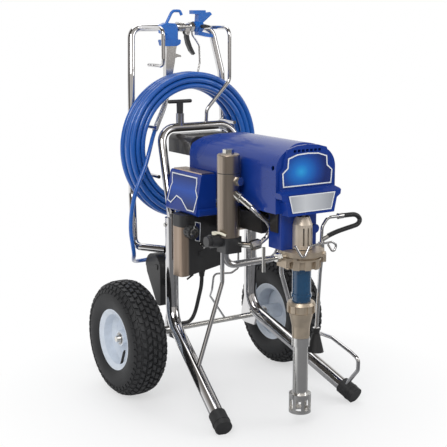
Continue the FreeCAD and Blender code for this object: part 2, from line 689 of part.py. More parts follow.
def drive_train():
    """The blue drive housing, the two gears, the connecting rod and all plain bearings and packings."""
    x2, z2 = gear_axes()
    front, back = pump_y - 18, motor_front_y - rest_gap
    crank_spot = Vector(0, 0, crank_z)
    second_spot = Vector(x2, 0, z2)
    face_y = pump_y + 10
    upper = rounded(block((-84, 60), (front + 11, back), (578, 697)), 16, lambda e: runs_along(e, Y_AXIS))
    room = rounded(block((-79, 55), (front + 17, back - 6), (584, 691)), 12, lambda e: runs_along(e, Y_AXIS))
    nose = block((-34, 34), (front + 2, face_y), (573, 637))
    nose_room = block((-28, 28), (front + 5, face_y + 1), (572, 634))
    lower = block((-58, 58), (face_y, back), (mount_top_z, 600))
    lower = rounded(lower, 9, lambda e: runs_along(e, Z_AXIS) and e.BoundBox.YMax < face_y + 1)
    sump = block((-52, 52), (face_y + 6, back - 6), (mount_top_z + 8, 610))
    boss = bar(Vector(45, face_y - 8, 524), Vector(45, face_y + 2, 524), 24)
    carrier = bush(crank_spot + Y_AXIS * face_y, crank_spot + Y_AXIS * (face_y + 10), journal_diameter + 26,
                   journal_diameter + 10)
    journal_way = bar(crank_spot + Y_AXIS * (face_y - 1), crank_spot + Y_AXIS * (face_y + 7), journal_diameter + 10)
    slot = block((-15, 15), (face_y - 10, face_y + 7), (mount_top_z - 1, 566))
    floor_way = block((-22, 22), (front + 6, face_y + 3), (570, 590))
    well = bar(Vector(0, pump_y, mount_top_z - 1), Vector(0, pump_y, mount_top_z + 9), rod_diameter + 8)
    shaft_way = bar(Vector(0, back - 8, motor_z), Vector(0, back + 1, motor_z), 22)
    seats = [bar(second_spot + Y_AXIS * (back - 7), second_spot + Y_AXIS * (back - 2), 20),
             bar(second_spot + Y_AXIS * (front + 12.5), second_spot + Y_AXIS * (front + 18), 20)]
    housing = upper.fuse([lower, boss, nose]).cut(room).cut(nose_room).cut(sump).fuse(carrier)
    housing = housing.cut(Part.makeCompound([journal_way, slot, floor_way, well, shaft_way] + seats))
    keep("drive_housing", housing.removeSplitter())

    toward_motor = Vector(-x2, 0, motor_z - z2)
    toward_crank = Vector(-x2, 0, crank_z - z2)
    fast_y, slow_y = motor_front_y - 26, motor_front_y - 44
    fast_gap = rotated_about_y(toward_motor.normalize(), math.pi / reduction_teeth)
    big = gear(reduction_teeth, fast_module, second_spot + Y_AXIS * (fast_y + 2), Y_AXIS, 12, fast_gap)
    small = gear(second_teeth, slow_module, second_spot + Y_AXIS * slow_y, Y_AXIS, 21, toward_crank)
    arbor = bar(second_spot + Y_AXIS * (front + 13), second_spot + Y_AXIS * (back - 3), 12)
    keep("reduction_gear", big.fuse([small, arbor]))

    crank_gap = rotated_about_y((toward_crank * -1).normalize(), math.pi / crank_teeth)
    wheel_gear = gear(crank_teeth, slow_module, crank_spot + Y_AXIS * (slow_y + 2), Y_AXIS, 12, crank_gap)
    journal = bar(crank_spot + Y_AXIS * face_y, crank_spot + Y_AXIS * (slow_y + 3), journal_diameter)
    pin_spot = crank_spot - Z_AXIS * (stroke / 2)
    pin = bar(pin_spot + Y_AXIS * (face_y - 1), pin_spot + Y_AXIS * (face_y + 1), crank_pin_diameter)
    relief = bar(crank_spot + Vector(0, face_y - 1, 14), crank_spot + Vector(0, face_y + 8, 14), 26)
    keep("crank_gear", wheel_gear.fuse([journal.cut(relief), pin]))

    eye = bush(pin_spot + Y_AXIS * (pump_y - 6), pin_spot + Y_AXIS * (pump_y + 6), 25, crank_pin_diameter + 0.4)
    wrist = Vector(0, pump_y, 512)
    small_eye = bush(wrist - Y_AXIS * 6, wrist + Y_AXIS * 6, 20, 10.1)
    beam = block((-6, 6), (pump_y - 5, pump_y + 5), (wrist.z + 7, pin_spot.z - 9))
    keep("connecting_rod", beam.fuse([eye, small_eye]))

    rod = bar(Vector(0, pump_y, 350), Vector(0, pump_y, 496), rod_diameter)
    fork = block((-11, 11), (pump_y - 10.5, pump_y + 9.5), (490, 521))
    fork = fork.cut(block((-13, 13), (pump_y - 6.5, pump_y + 6.5), (501, 525)))
    fork = fork.fuse(bar(wrist - Y_AXIS * 10, wrist + Y_AXIS * 9, 10))
    piston = bar(Vector(0, pump_y, 350), Vector(0, pump_y, 370), sleeve_bore - 4 * running_gap)
    keep("pump_rod", rod.fuse([fork, piston]))

    rings = []
    for y_spot in (motor_front_y + 5, motor_rear_y - 8):
        rings.append(ring_bearing(Vector(0, y_spot, motor_z), Y_AXIS, bearing_diameter,
                                  shaft_diameter + 2 * running_gap, 8))
    for s in (-1, 1):
        for spot in (wheel_x + hub_outboard - bearing_width / 2, wheel_x - hub_inboard + bearing_width / 2):
            rings.append(ring_bearing(Vector(s * spot, 0, axle_z), X_AXIS, bearing_diameter - 2 * running_gap,
                                      axle_diameter, bearing_width - 0.6))
    for z_spot in (mount_top_z - 14, mount_top_z - 22, mount_top_z - 30):
        rings.append(bush(Vector(0, pump_y, z_spot), Vector(0, pump_y, z_spot + 6), sleeve_bore,
                          rod_diameter + 2 * running_gap))
    rings.append(bush(crank_spot + Y_AXIS * (face_y + 1), crank_spot + Y_AXIS * (face_y + 9),
                      journal_diameter + 10, journal_diameter + 2 * running_gap))
    for y_spot in (front + 15.1, back - 4.5):
        rings.append(ring_bearing(second_spot + Y_AXIS * y_spot, Y_AXIS, 20, 12 + 2 * running_gap, 5))
    keep("bearings_and_packings", *rings)


def rotated_about_y(vector, angle):
    """The vector turned about +Y by an angle in radians."""
    turn = FreeCAD.Rotation(Y_AXIS, math.degrees(angle))
    return turn.multVec(vector)


def pump():
    """Rod cover, mount ring, clamp screw, cylinder, intake housing, ball, intake tube and strainer."""
    def at(z):
        return Vector(0, pump_y, z)

    cover = bar(at(cover_bottom_z), at(cover_top_z - 20), cover_diameter)
    cover = cover.fuse(taper(at(cover_top_z - 20), at(cover_top_z), cover_diameter, cover_diameter - 16))
    cover = cover.cut(bar(at(cover_bottom_z - 1), at(cover_top_z - 20), cover_diameter - 6))
    cover = cover.cut(block((-14, 14), (pump_y - 12, pump_y + 60), (500, 700)))
    cover = cover.cut(block((-60, 60), (pump_y + 10 - rest_gap, pump_y + 60), (400, 700)))
    for x in (-12, 0, 12):
        cover = cover.cut(block((x - 2.2, x + 2.2), (pump_y - 40, pump_y), (488, 534)))
    keep("rod_cover", cover)

    low = mount_top_z - mount_height
    ring = bar(at(low), at(mount_top_z), mount_diameter - 16)
    ring = ring.fuse(bar(at(mount_top_z - 14), at(mount_top_z - rest_gap), mount_diameter))
    ring = ring.fuse(block((-66, -40), (pump_y - 20, pump_y + 20), (low + 8, mount_top_z - 16)))
    ring = ring.fuse(block((40, 68), (pump_y - 16, pump_y + 30), (low + 8, mount_top_z - 16)))
    lugs = 10
    pockets = []
    for n in range(lugs):
        pocket = block((mount_diameter / 2 - 18, mount_diameter / 2), (pump_y - 7, pump_y + 7),
                       (low - 1, mount_top_z - 26))
        pockets.append(pocket.rotate(at(0), Z_AXIS, (n + 0.5) * 360 / lugs))
    groove = bush(at(mount_top_z - 21), at(mount_top_z - 14.5), mount_diameter, mount_diameter - 28)
    pockets.append(groove.common(block((-39, 39), (pump_y - 90, pump_y + 90), (low, mount_top_z))))
    ring = ring.cut(Part.makeCompound(pockets))
    for turn in (-36, 36):
        way = Vector(math.sin(math.radians(turn)), -math.cos(math.radians(turn)), 0)
        ring = ring.fuse(hexagon(at(mount_top_z - 7) + way * (mount_diameter / 2 - 2),
                                 at(mount_top_z - 7) + way * (mount_diameter / 2 + 5), 11))
    ring = ring.cut(bar(at(low - 1), at(mount_top_z + 1), sleeve_diameter))
    ring = ring.cut(bar(Vector(-80, pump_y, clamp_z), Vector(-20, pump_y, clamp_z), 10 + 2 * running_gap))
    keep("pump_mount", ring)

    screw = bar(Vector(-122, pump_y, clamp_z), Vector(-sleeve_diameter / 2 - rest_gap, pump_y, clamp_z), 10)
    cross_bar = bar(Vector(-122, pump_y, clamp_z - clamp_bar / 2), Vector(-122, pump_y, clamp_z + clamp_bar / 2), 9)
    collar = hexagon(Vector(-84, pump_y, clamp_z), Vector(-70, pump_y, clamp_z), 20)
    keep("clamp_handle", screw.fuse([cross_bar, collar]))

    sleeve = bar(at(sleeve_bottom_z), at(mount_top_z - 1), sleeve_diameter)
    sleeve = sleeve.fuse(bar(at(sleeve_bottom_z + 14), at(sleeve_bottom_z + 22), sleeve_diameter + 5))
    sleeve = sleeve.cut(bar(at(sleeve_bottom_z - 1), at(mount_top_z), sleeve_bore))
    keep("pump_cylinder", sleeve)

    big, small = intake_diameter, intake_tube_diameter + 6
    intake = turned([(intake_bottom_z, small / 2), (intake_bottom_z + 30, small / 2 + 1),
                     (intake_bottom_z + 66, big / 2 - 6), (intake_bottom_z + 70, big / 2),
                     (sleeve_bottom_z - 8, big / 2), (sleeve_bottom_z, big / 2 - 4), (sleeve_bottom_z, 14),
                     (intake_bottom_z + 60, 14), (intake_bottom_z + 50, 7), (intake_bottom_z + 40, 7),
                     (intake_bottom_z + 36, intake_tube_bore / 2), (intake_bottom_z, intake_tube_bore / 2)],
                    Vector(0, pump_y, 0), Z_AXIS)
    notches = []
    for n in range(10):
        notch = block((big / 2 - 4, big / 2 + 4), (pump_y - 5, pump_y + 5),
                      (intake_bottom_z + 69, sleeve_bottom_z - 8))
        notches.append(notch.rotate(at(0), Z_AXIS, 36 * n))
    keep("intake_housing", intake.cut(Part.makeCompound(notches)))
    seat_slope = (14 - 7) / 10.0
    ball_z = intake_bottom_z + 50 + (ball_diameter / 2 * math.sqrt(1 + seat_slope ** 2) - 7) / seat_slope + rest_gap
    keep("intake_ball", Part.makeSphere(ball_diameter / 2, at(ball_z)))

    tube = bush(at(strainer_top_z - 20), at(intake_bottom_z - rest_gap), intake_tube_diameter, intake_tube_bore)
    tube = tube.fuse(bush(at(intake_bottom_z - 24), at(intake_bottom_z - rest_gap), intake_tube_diameter + 8,
                          intake_tube_bore))
    keep("intake_tube", tube)

    basket = bush(at(strainer_bottom_z), at(strainer_top_z), strainer_diameter, strainer_diameter - 6)
    roof = bush(at(strainer_top_z - 5), at(strainer_top_z), strainer_diameter - 2, intake_tube_diameter)
    windows = []
    for n in range(8):
        window = block((strainer_diameter / 2 - 8, strainer_diameter / 2 + 3), (pump_y - 7, pump_y + 7),
                       (strainer_bottom_z + 8, strainer_top_z - 12))
        windows.append(window.rotate(at(0), Z_AXIS, 45 * n))
    floor_ring = bush(at(strainer_bottom_z), at(strainer_bottom_z + 4), strainer_diameter - 2, 26)
    keep("strainer", basket.cut(Part.makeCompound(windows)).fuse([roof, floor_ring]))


def fluid_side():
    """Filter, manifold with prime valve, fittings, pressure pipe and drain line."""
    def at(z):
        return Vector(filter_x, filter_y, z)

    full = bar(at(filter_bottom_z), at(filter_top_z), filter_diameter)
    bowl = bar(at(filter_bottom_z), at(filter_seam_z), filter_diameter)
    bowl = bowl.cut(bar(at(filter_bottom_z + 10), at(filter_seam_z + 1), filter_diameter - 2 * filter_wall))
    keep("filter_bowl", bowl)
    cap = bar(at(filter_seam_z + rest_gap), at(filter_top_z), filter_diameter)
    cap = rounded(cap, 4, lambda e: e.BoundBox.ZMin > filter_top_z - 1)
    cap = cap.cut(bar(at(filter_seam_z - 1), at(filter_top_z - 14), filter_diameter - 2 * filter_wall))
    keep("filter_cap", cap)
    element = bush(at(filter_bottom_z + 14), at(filter_seam_z + 24), 32, 20)
    bands = [bush(at(filter_bottom_z + 30 + 28 * n), at(filter_bottom_z + 34 + 28 * n), 36, 31) for n in range(5)]
    keep("filter_element", element.fuse(bands))

    body = block((filter_x - 23, filter_x + 28), (filter_y - 27, filter_y + 27), (manifold_bottom_z, filter_bottom_z))
    body = rounded(body, 8, lambda e: runs_along(e, Z_AXIS))
    root = Vector(filter_x - 20, filter_y + 6, 489)
    valve = bar(root, root - X_AXIS * 34, 36).fuse(bar(root - X_AXIS * 32, root - X_AXIS * 46, 28))
    body = body.fuse(valve.cut(full))
    keep("fluid_manifold", body)
    stem_foot = Vector(root.x - 24, root.y - 6, 489 + 18 + rest_gap)
    lever = bar(stem_foot, stem_foot + Z_AXIS * 8, 14)
    arm = bent_bar([stem_foot + Vector(0, 0, 5), stem_foot + Vector(7, -16, 6), stem_foot + Vector(18, -28, 0)], 7, 8)
    keep("prime_lever", lever.fuse(arm))

    plug_way = Vector(0.28, -0.96, 0)
    plug_start = at(648) + plug_way * (filter_diameter / 2 - 2)
    port_start = Vector(-124, -337, 613)
    crimp_end = Vector(-114, -396, 585)
    port_way = (crimp_end - port_start).normalize()
    pieces = [hexagon(plug_start, plug_start + plug_way * 14, 22),
              bar(port_start, port_start + port_way * 20, 24).fuse(bar(port_start + port_way * 18, crimp_end, 18))]
    pieces = [piece.cut(full) for piece in pieces]
    pieces.append(hexagon(at(filter_top_z), at(filter_top_z + 12), 26))
    pump_port = Vector(-80, -382, 486)
    port_block = hexagon(pump_port, pump_port + Vector(-24, 4, -5), 24)
    port_link = bar(pump_port + Vector(-22, 3.6, -4.6), Vector(-112, -330, 478), 16)
    pieces.append(port_block.fuse(port_link).cut(body))

    pipe = bent_bar([crimp_end - port_way * 3, Vector(-107, -404, 575), Vector(-68, -397, 546), Vector(-47, -386, 523),
                     Vector(-58, -384, 500), pump_port + Vector(3, 0, 1)], pipe_diameter, 16)
    keep("pressure_tube", pipe.cut(Part.makeCompound(pieces)))

    low_x = drain_x - 12
    drop = bent_bar([Vector(drain_x + 4, drain_y, 452), Vector(drain_x - 2, drain_y, 400),
                     Vector(low_x, drain_y, 240)], drain_diameter, 60)
    drop = drop.cut(made["pump_mount"])
    collar = bar(Vector(low_x, drain_y, 248), Vector(low_x, drain_y, 230), 18)
    spread = taper(Vector(low_x, drain_y, 231), Vector(low_x - 2, drain_y, 182), 20, 46)
    spread = spread.cut(taper(Vector(low_x, drain_y, 222), Vector(low_x - 2, drain_y, 181), 14, 41))
    joint_ring = bar(Vector(drain_x + 3, drain_y, 446), Vector(drain_x + 1.5, drain_y, 428), 18)
    joint_ring = joint_ring.cut(made["pump_mount"])
    base = bar(Vector(drain_x, drain_y, 456), Vector(drain_x, drain_y, 482), 18).cut(made["pump_mount"])
    bend = bent_bar([Vector(drain_x, drain_y, 480), Vector(drain_x + 2, drain_y, 522),
                     Vector(drain_x + 20, drain_y, 545), Vector(drain_x + 56, drain_y, 545)], 9, 22)
    ferrule = bar(Vector(drain_x + 55, drain_y, 545), Vector(150, drain_y, 545), 16)
    keep("drain_tube", drop.fuse([spread, collar, joint_ring]), bend.fuse([ferrule, base]))
    return pieces


def control():
    """Control box with its board, knob and toggle, and the electric box with the cord gland."""
    lean = 20.0
    out_x, in_x = -146.0, -100.0
    side = [Vector(out_x, control_front_y, control_top_z), Vector(in_x, control_front_y, control_top_z),
            Vector(in_x, control_front_y, control_bottom_z), Vector(out_x - lean, control_front_y, control_bottom_z)]
    shell = polygon(side, Vector(0, control_rear_y - control_front_y, 0))
    shell = rounded(shell, 7, lambda e: runs_along(e, Y_AXIS) and e.BoundBox.XMax < out_x + 1)
    w = control_wall
    hollow = polygon([Vector(out_x + w, control_front_y + w, control_top_z - w),
                      Vector(in_x - w, control_front_y + w, control_top_z - w),
                      Vector(in_x - w, control_front_y + w, control_bottom_z - 1),
                      Vector(out_x - lean + w + 1, control_front_y + w, control_bottom_z - 1)],
                     Vector(0, control_rear_y - control_front_y - 2 * w, 0))
    lip = block((out_x - lean + 8, in_x), (control_front_y - 8, control_front_y + 1),
                (control_bottom_z, control_bottom_z + 20))
    lip = rounded(lip, 6, lambda e: runs_along(e, X_AXIS) and e.BoundBox.YMax < control_front_y)
    keep("control_box", shell.fuse(lip).cut(hollow))

    board = block((-118, -114), (control_front_y + 20, control_rear_y - 20), (control_bottom_z + 20, control_top_z - 20))
    parts_on_board = [block((-130, -118), (control_front_y + 34 + 32 * n, control_front_y + 54 + 32 * n),
                            (control_bottom_z + 34, control_bottom_z + 64)) for n in range(4)]
    posts = [bar(Vector(-114, y, z), Vector(in_x - w, y, z), 6)
             for y in (control_front_y + 28, control_rear_y - 28) for z in (control_bottom_z + 30, control_top_z - 30)]
    keep("circuit_board", board.fuse(parts_on_board + posts))

    corner = 20.0
    ebox = front_plate([(ebox_left_x, ebox_bottom_z), (ebox_right_x, ebox_bottom_z + ebox_rise),
                        (ebox_right_x, control_bottom_z), (ebox_left_x, control_bottom_z)],
                       ebox_front_y, ebox_rear_y)
    ebox = rounded(ebox, corner, lambda e: runs_along(e, Z_AXIS) and e.BoundBox.XMax < ebox_left_x + 1)
    room = front_plate([(ebox_left_x + 9, ebox_bottom_z + 6), (ebox_right_x - 3, ebox_bottom_z + ebox_rise + 3),
                        (ebox_right_x - 3, control_bottom_z - 3), (ebox_left_x + 9, control_bottom_z - 3)],
                       ebox_front_y + 9, ebox_rear_y - 9)
    knob_hole = bar(Vector(knob_x, ebox_front_y - 1, knob_z), Vector(knob_x, ebox_front_y + 12, knob_z), 8.4)
    toggle_x, toggle_z = -130.0, 452.0
    toggle_hole = bar(Vector(toggle_x, ebox_front_y - 1, toggle_z), Vector(toggle_x, ebox_front_y + 12, toggle_z), 10)
    ebox = ebox.cut(room).cut(knob_hole).cut(toggle_hole)
    gland_x, gland_y = -108.0, -142.0
    gland_top = ebox_bottom_z + ebox_rise * (gland_x - ebox_left_x) / (ebox_right_x - ebox_left_x)
    gland = bar(Vector(gland_x, gland_y, gland_top - 12), Vector(gland_x, gland_y, gland_top + 5), 20)
    gland = gland.fuse(taper(Vector(gland_x, gland_y, gland_top - 12), Vector(gland_x, gland_y, gland_top - 26), 18, 14))
    gland = gland.cut(ebox)
    small_screw = hexagon(Vector(-133, ebox_front_y - 5, 427), Vector(-133, ebox_front_y, 427), 13)
    pin = bar(Vector(-152, -168, 368), Vector(-166, -158, 354), 5)
    pin = pin.cut(ebox)
    ledge = block((-100, -66), (ebox_rear_y - 4, ebox_rear_y + 4), (470, 500))
    keep("electric_box", ebox.fuse(ledge), gland, small_screw, pin)

    knob = bar(Vector(knob_x, ebox_front_y - 26, knob_z), Vector(knob_x, ebox_front_y - rest_gap, knob_z),
               knob_diameter)
    grips = []
    for n in range(12):
        turn = math.radians(30 * n)
        spot = Vector(knob_x + 20.5 * math.cos(turn), 0, knob_z + 20.5 * math.sin(turn))
        grips.append(bar(spot + Y_AXIS * (ebox_front_y - 27), spot + Y_AXIS * (ebox_front_y - 8), 7))
    knob = knob.cut(Part.makeCompound(grips))
    knob = knob.fuse(bar(Vector(knob_x, ebox_front_y - 1, knob_z), Vector(knob_x, ebox_front_y + 14, knob_z), 8))
    keep("pressure_knob", knob)

    pivot = Vector(toggle_x, ebox_front_y + 4, toggle_z)
    lever = taper(pivot, pivot + Vector(0, -20, -7), 5, 7)
    lever = lever.fuse(Part.makeSphere(4.0, pivot)).fuse(bar(pivot - X_AXIS * 4.6, pivot + X_AXIS * 4.6, 3))
    keep("switch_toggle", lever)
    return Vector(gland_x, gland_y, gland_top - 26)


def cover_section(inset):
    """The cover's end outline: straight sides, round shoulders and a crowned top, drawn in by an amount."""
    half, top, round_z = shroud_half_width, shroud_top_z, shroud_shoulder_z
    arm = half - shroud_shoulder
    rise = top - round_z
    crown = (arm ** 2 + rise ** 2 - shroud_shoulder ** 2) / (2 * (rise - shroud_shoulder))
    crown_z = top - crown
    way = Vector(arm, 0, round_z - crown_z).normalize()
    r, big = shroud_shoulder - inset, crown - inset
    y, low = -600.0, shroud_bottom_z - (1 if inset else 0)
    side, join = [], []
    for s in (-1, 1):
        centre = Vector(s * arm, y, round_z)
        side.append(Vector(s * (half - inset), y, round_z))
        join.append(centre + Vector(s * way.x * r, 0, way.z * r))
    middle = [Vector(s * (arm + r * math.cos(0.5)), y, round_z + r * math.sin(0.5)) for s in (-1, 1)]
    low_left, low_right = Vector(-half + inset, y, low), Vector(half - inset, y, low)
    edges = [Part.LineSegment(low_left, side[0]).toShape(), Part.Arc(side[0], middle[0], join[0]).toShape(),
             Part.Arc(join[0], Vector(0, y, crown_z + big), join[1]).toShape(),
             Part.Arc(join[1], middle[1], side[1]).toShape(), Part.LineSegment(side[1], low_right).toShape(),
             Part.LineSegment(low_right, low_left).toShape()]
    return Part.Face(Part.Wire(edges)).extrude(Vector(0, 700, 0))


def cover_profile(inset, rear_extra):
    """The cover's side outline as a solid across the machine, drawn in by an amount."""
    front, rear, top = shroud_front_y + inset, shroud_rear_y + rear_extra, shroud_top_z + 1 - inset
    low = shroud_bottom_z - (2 if inset else 0)
    outline = [(front, low), (front, top - 22), (front + 5, top - 10), (front + 18, top - 1), (front + 40, top),
               (-200, top), (-118, top - 7), (-84, top - 17), (rear, top - 36), (rear, low)]
    return side_plate(outline, -200, 200)


def cover_and_plates():
    """The glossy motor cover with its fascia, and the thin plates."""
    w = shroud_wall
    front = shroud_front_y
    body = cover_section(0).common(cover_profile(0, 0))
    room = cover_section(w).common(cover_profile(w, 1))
    half_outline = [(0, 750), (34, 747.5), (62, 740), (72, 716), (76, 694), (86, 682), (86, 650), (88, 632), (82, 612),
                    (82, 610), (0, 610)]
    upper = front_plate(half_outline + [(-x, z) for x, z in reversed(half_outline[1:-1])], badge_y, front + 1.5)
    low_half = [(0, 640), (84, 640), (96, 632), (94, 618), (82, 610), (73, 573), (0, 573)]
    chin = front_plate(low_half + [(-x, z) for x, z in reversed(low_half[1:-1])], lower_plate_y, front + 1.5)
    slope = side_plate([(badge_y, 641), (lower_plate_y + 1, 629), (lower_plate_y, 573), (front + 2, 573),
                        (front + 2, 641)], -100, 100)
    fascia = upper.fuse(chin.common(slope))
    vents = [block((13 * n - 4.5, 13 * n + 4.5), (badge_y - 1, front + w + 1), (731, 738)) for n in range(-3, 4)]
    holes = [bar(Vector(s * 99, -458, 694), Vector(s * 88, -458, 694), 12) for s in (-1, 1)]
    hollow = block((-66, 66), (lower_plate_y + 3, front + w + 1), (570, 622))
    hollow = hollow.fuse(block((-40, 40), (badge_y - 1, front + w + 1), (570, 638.5)))
    cover = body.fuse(fascia).cut(room).cut(hollow).cut(Part.makeCompound(vents + holes))
    keep("motor_shroud", cover)

    badge_half = [(0, 729), (34, 727), (62, 718), (64, 694), (80, 681), (77, 645), (0, 645)]
    badge = front_plate(badge_half + [(-x, z) for x, z in reversed(badge_half[1:-1])], badge_y - 1.5, badge_y)
    lower = front_plate([(-74, 626), (74, 626), (62, 581), (-62, 581)], lower_plate_y - 1.5, lower_plate_y)
    skin = []
    for along, z in ((-186, 640), (-54, 640), (-62, 612), (-56, 600), (-50, 562), (-70, 556), (-96, 578), (-122, 572),
                     (-158, 548), (-194, 548), (-202, 590), (-190, 606), (-190, 622)):
        x = -146 - 20 * (control_top_z - z) / (control_top_z - control_bottom_z)
        skin.append(Vector(x, along, z))
    side_badge = polygon(skin, Vector(-1.4, 0, -0.25))
    top_plate = block((-141, -101), (-196, -50), (control_top_z, control_top_z + 3))
    keep("cover_plates", badge, lower, side_badge, top_plate)


def gun():
    """Spray gun hung on the top bar: metal body, blue head and hook, trigger, tip guard and tip.

    Its outlines are (x, height over the barrel's axis) pairs."""
    axis_z = handle_top_z + gun_lift

    def plate(outline, thickness=gun_thickness):
        return front_plate([(x, axis_z + z) for x, z in outline], gun_y - thickness / 2, gun_y + thickness / 2)

    def g(x, z, y=gun_y):
        return Vector(x, y, axis_z + z)

    barrel = bar(g(-8, -1), g(52, 0), barrel_diameter)
    spine = plate([(-44, -14), (-8, -12), (-3, -36), (-7, -51), (-12, -76), (-15, -101), (-22, -136), (-28, -154),
                   (-46, -152), (-46, -111), (-43, -76), (-44, -46)], gun_handle_thickness)
    spur = plate([(-15, -77), (-6, -79), (9, -84), (10, -89), (-2, -89), (-16, -93)], 8)
    rings = [bar(g(-3, -1), g(6, -0.9), 31), bar(g(9, -0.8), g(17, -0.7), 29), hexagon(g(41, -0.2), g(52, 0), 27)]
    diffuser = bar(g(50, 0), g(64, 0.3), 17)
    guard = bent_bar([g(50, -8), g(51, -25), g(62, -38), g(75, -56), g(77, -108), g(68, -144), g(50, -155),
                      g(-34, -150)], 6, 9)
    swivel = hexagon(g(-37, -153), g(-38, -170), 19)
    full_barrel = barrel.fuse(rings)
    metal = full_barrel.fuse([spine, spur, diffuser, guard, swivel])
    trigger_slot = block((6, 36), (gun_y - 7.2, gun_y + 7.2), (axis_z - 44, axis_z - 6))
    metal = metal.cut(trigger_slot.cut(full_barrel))
    ears = [bar(g(30, -18, gun_y + s * 7.6), g(30, -18, gun_y + s * 10.5), 14) for s in (-1, 1)]
    webs = [block((22, 38), sorted((gun_y + s * 7.6, gun_y + s * 10.5)), (axis_z - 18, axis_z - 4)) for s in (-1, 1)]
    pin_holes = bar(g(30, -18, gun_y - 12), g(30, -18, gun_y + 12), 4.2)
    keep("gun_body", metal.fuse(ears + webs).cut(pin_holes))

    head = plate([(-62, 5), (-46, 12), (-12, 10), (-4, -2), (-4, -42), (-46, -42), (-46, -24), (-60, -18)])
    head = rounded(head, 5, lambda e: not runs_along(e, Y_AXIS))
    collar = plate([(-60, -37), (3, -37), (1, -50), (-10, -56), (-54, -56)], gun_thickness + 4)
    collar = rounded(collar, 4, lambda e: runs_along(e, Y_AXIS))
    hook = bent_bar([g(-44, 0), g(-21, 40), g(-14, 46), g(8, 46), g(14, 34)], 9, 7)
    keep("gun_cover", head.fuse([collar, hook]).cut(Part.makeCompound([full_barrel, spine])))

    blade = plate([(25, -13.5), (35, -13.5), (38, -36), (46, -58), (58, -80), (52, -84), (40, -72), (30, -52),
                   (25, -32)], 12)
    trigger_pin = bar(g(30, -18, gun_y - 10.4), g(30, -18, gun_y + 10.4), 4.1)
    keep("gun_trigger", blade.cut(bar(g(-8, -1), g(52, 0), barrel_diameter + 0.6)).fuse(trigger_pin))

    guard_ring = bush(g(66, 0.4), g(82, 0.7), 34, 18)
    wing_top = plate([(66, 14), (68, 36), (48, 37), (48, 48), (92, 48), (93, 41), (108, 43), (115, 36), (84, 12)], 22)
    wing_low = plate([(66, -12), (80, -15), (118, -24), (120, -32), (104, -32), (66, -25)], 22)
    nut = hexagon(g(56, 0.2), g(66, 0.4), 30).cut(bar(g(40, 0), g(70, 0.4), 17))
    tip_way = bar(g(74, 0.5, gun_y - 40), g(74, 0.5, gun_y + 40), 10 + 2 * running_gap)
    guard_all = guard_ring.fuse([nut]).fuse([wing_top, wing_low]).cut(tip_way)
    guard_all = guard_all.cut(bar(g(64.2, 0.4), g(72, 0.5), 9)).cut(bar(g(76, 0.5), g(90, 0.7), 14))
    keep("tip_guard", guard_all)
    stem = bar(g(74, 0.5, gun_y - 24), g(74, 0.5, gun_y + 15), 10)
    flag = front_plate([(69, axis_z - 5), (92, axis_z - 3), (98, axis_z + 0.5), (92, axis_z + 4), (69, axis_z + 6)],
                       gun_y - 30, gun_y - 23)
    keep("spray_tip", stem.fuse(flag))
    return g(30, -18)


def biarc(p0, t0, p1, t1):
    """Two tangent arcs from p0 to p1 that start along t0 and end along t1."""
    v, t = p1 - p0, t0 + t1
    low = 2 * (1 - t0.dot(t1))
    reach = (-v.dot(t) + math.sqrt(v.dot(t) ** 2 + low * v.dot(v))) / low
    q0, q1 = p0 + t0 * reach, p1 - t1 * reach
    middle = (q0 + q1) * 0.5
    arcs = []
    for start, corner, end in ((p0, q0, middle), (middle, q1, p1)):
        half = (corner - start).getAngle(end - corner) / 2
        inward = ((start + end) * 0.5 - corner).normalize()
        top = corner + inward * (reach / math.sin(half) - reach / math.tan(half))
        arcs.append(Part.Arc(start, top, end).toShape())
    return arcs


def coil_point(turn, spec):
    """Centre of a wound tube after so many turns: it spirals in and out and climbs a layer at each reversal."""
    origin, first, second, axis, radius, pitch, rise, per_layer, layers, start_deg = spec
    layer = min(int(turn / per_layer), layers - 1)
    along = turn - layer * per_layer
    inward = along if layer % 2 == 0 else per_layer - along
    climb = sum(min(1.0, max(0.0, (turn - (n * per_layer - 0.25)) / 0.5)) for n in range(1, layers))
    angle = math.radians(start_deg) + 2 * math.pi * turn
    reach = radius - inward * pitch
    return origin + first * (reach * math.cos(angle)) + second * (reach * math.sin(angle)) + axis * (climb * rise)


def wound_coil(name, spec, diameter):
    """One unbroken wound tube on biarcs of a quarter turn, with straight ends; returns its two end points."""
    per_layer, layers = spec[7], spec[8]
    total = per_layer * layers
    count = total * 4
    points = [coil_point(n / 4, spec) for n in range(count + 1)]
    ways = []
    for n in range(count + 1):
        low, high = max(0.0, n / 4 - 1e-4), min(float(total), n / 4 + 1e-4)
        ways.append((coil_point(high, spec) - coil_point(low, spec)).normalize())
    start, end = points[0] - ways[0] * diameter, points[-1] + ways[-1] * diameter
    edges = [Part.LineSegment(start, points[0]).toShape()]
    for n in range(count):
        edges += biarc(points[n], ways[n], points[n + 1], ways[n + 1])
    edges.append(Part.LineSegment(points[-1], end).toShape())
    wire = Part.Wire(edges)
    solid = sweep(wire, start, ways[0], diameter)
    samples = [coil_point(n / 72.0, spec) for n in range(total * 72 + 1)]
    least = min((samples[m] - point).Length for n, point in enumerate(samples)
                for m in range(n + 36, len(samples), 2))
    share = solid.Volume / (math.pi * diameter ** 2 / 4 * wire.Length)
    print(name, "least gap", round(least - diameter, 2), "length", round(wire.Length), "volume share", round(share, 4))
    keep(name, solid)
    return start, end, ways


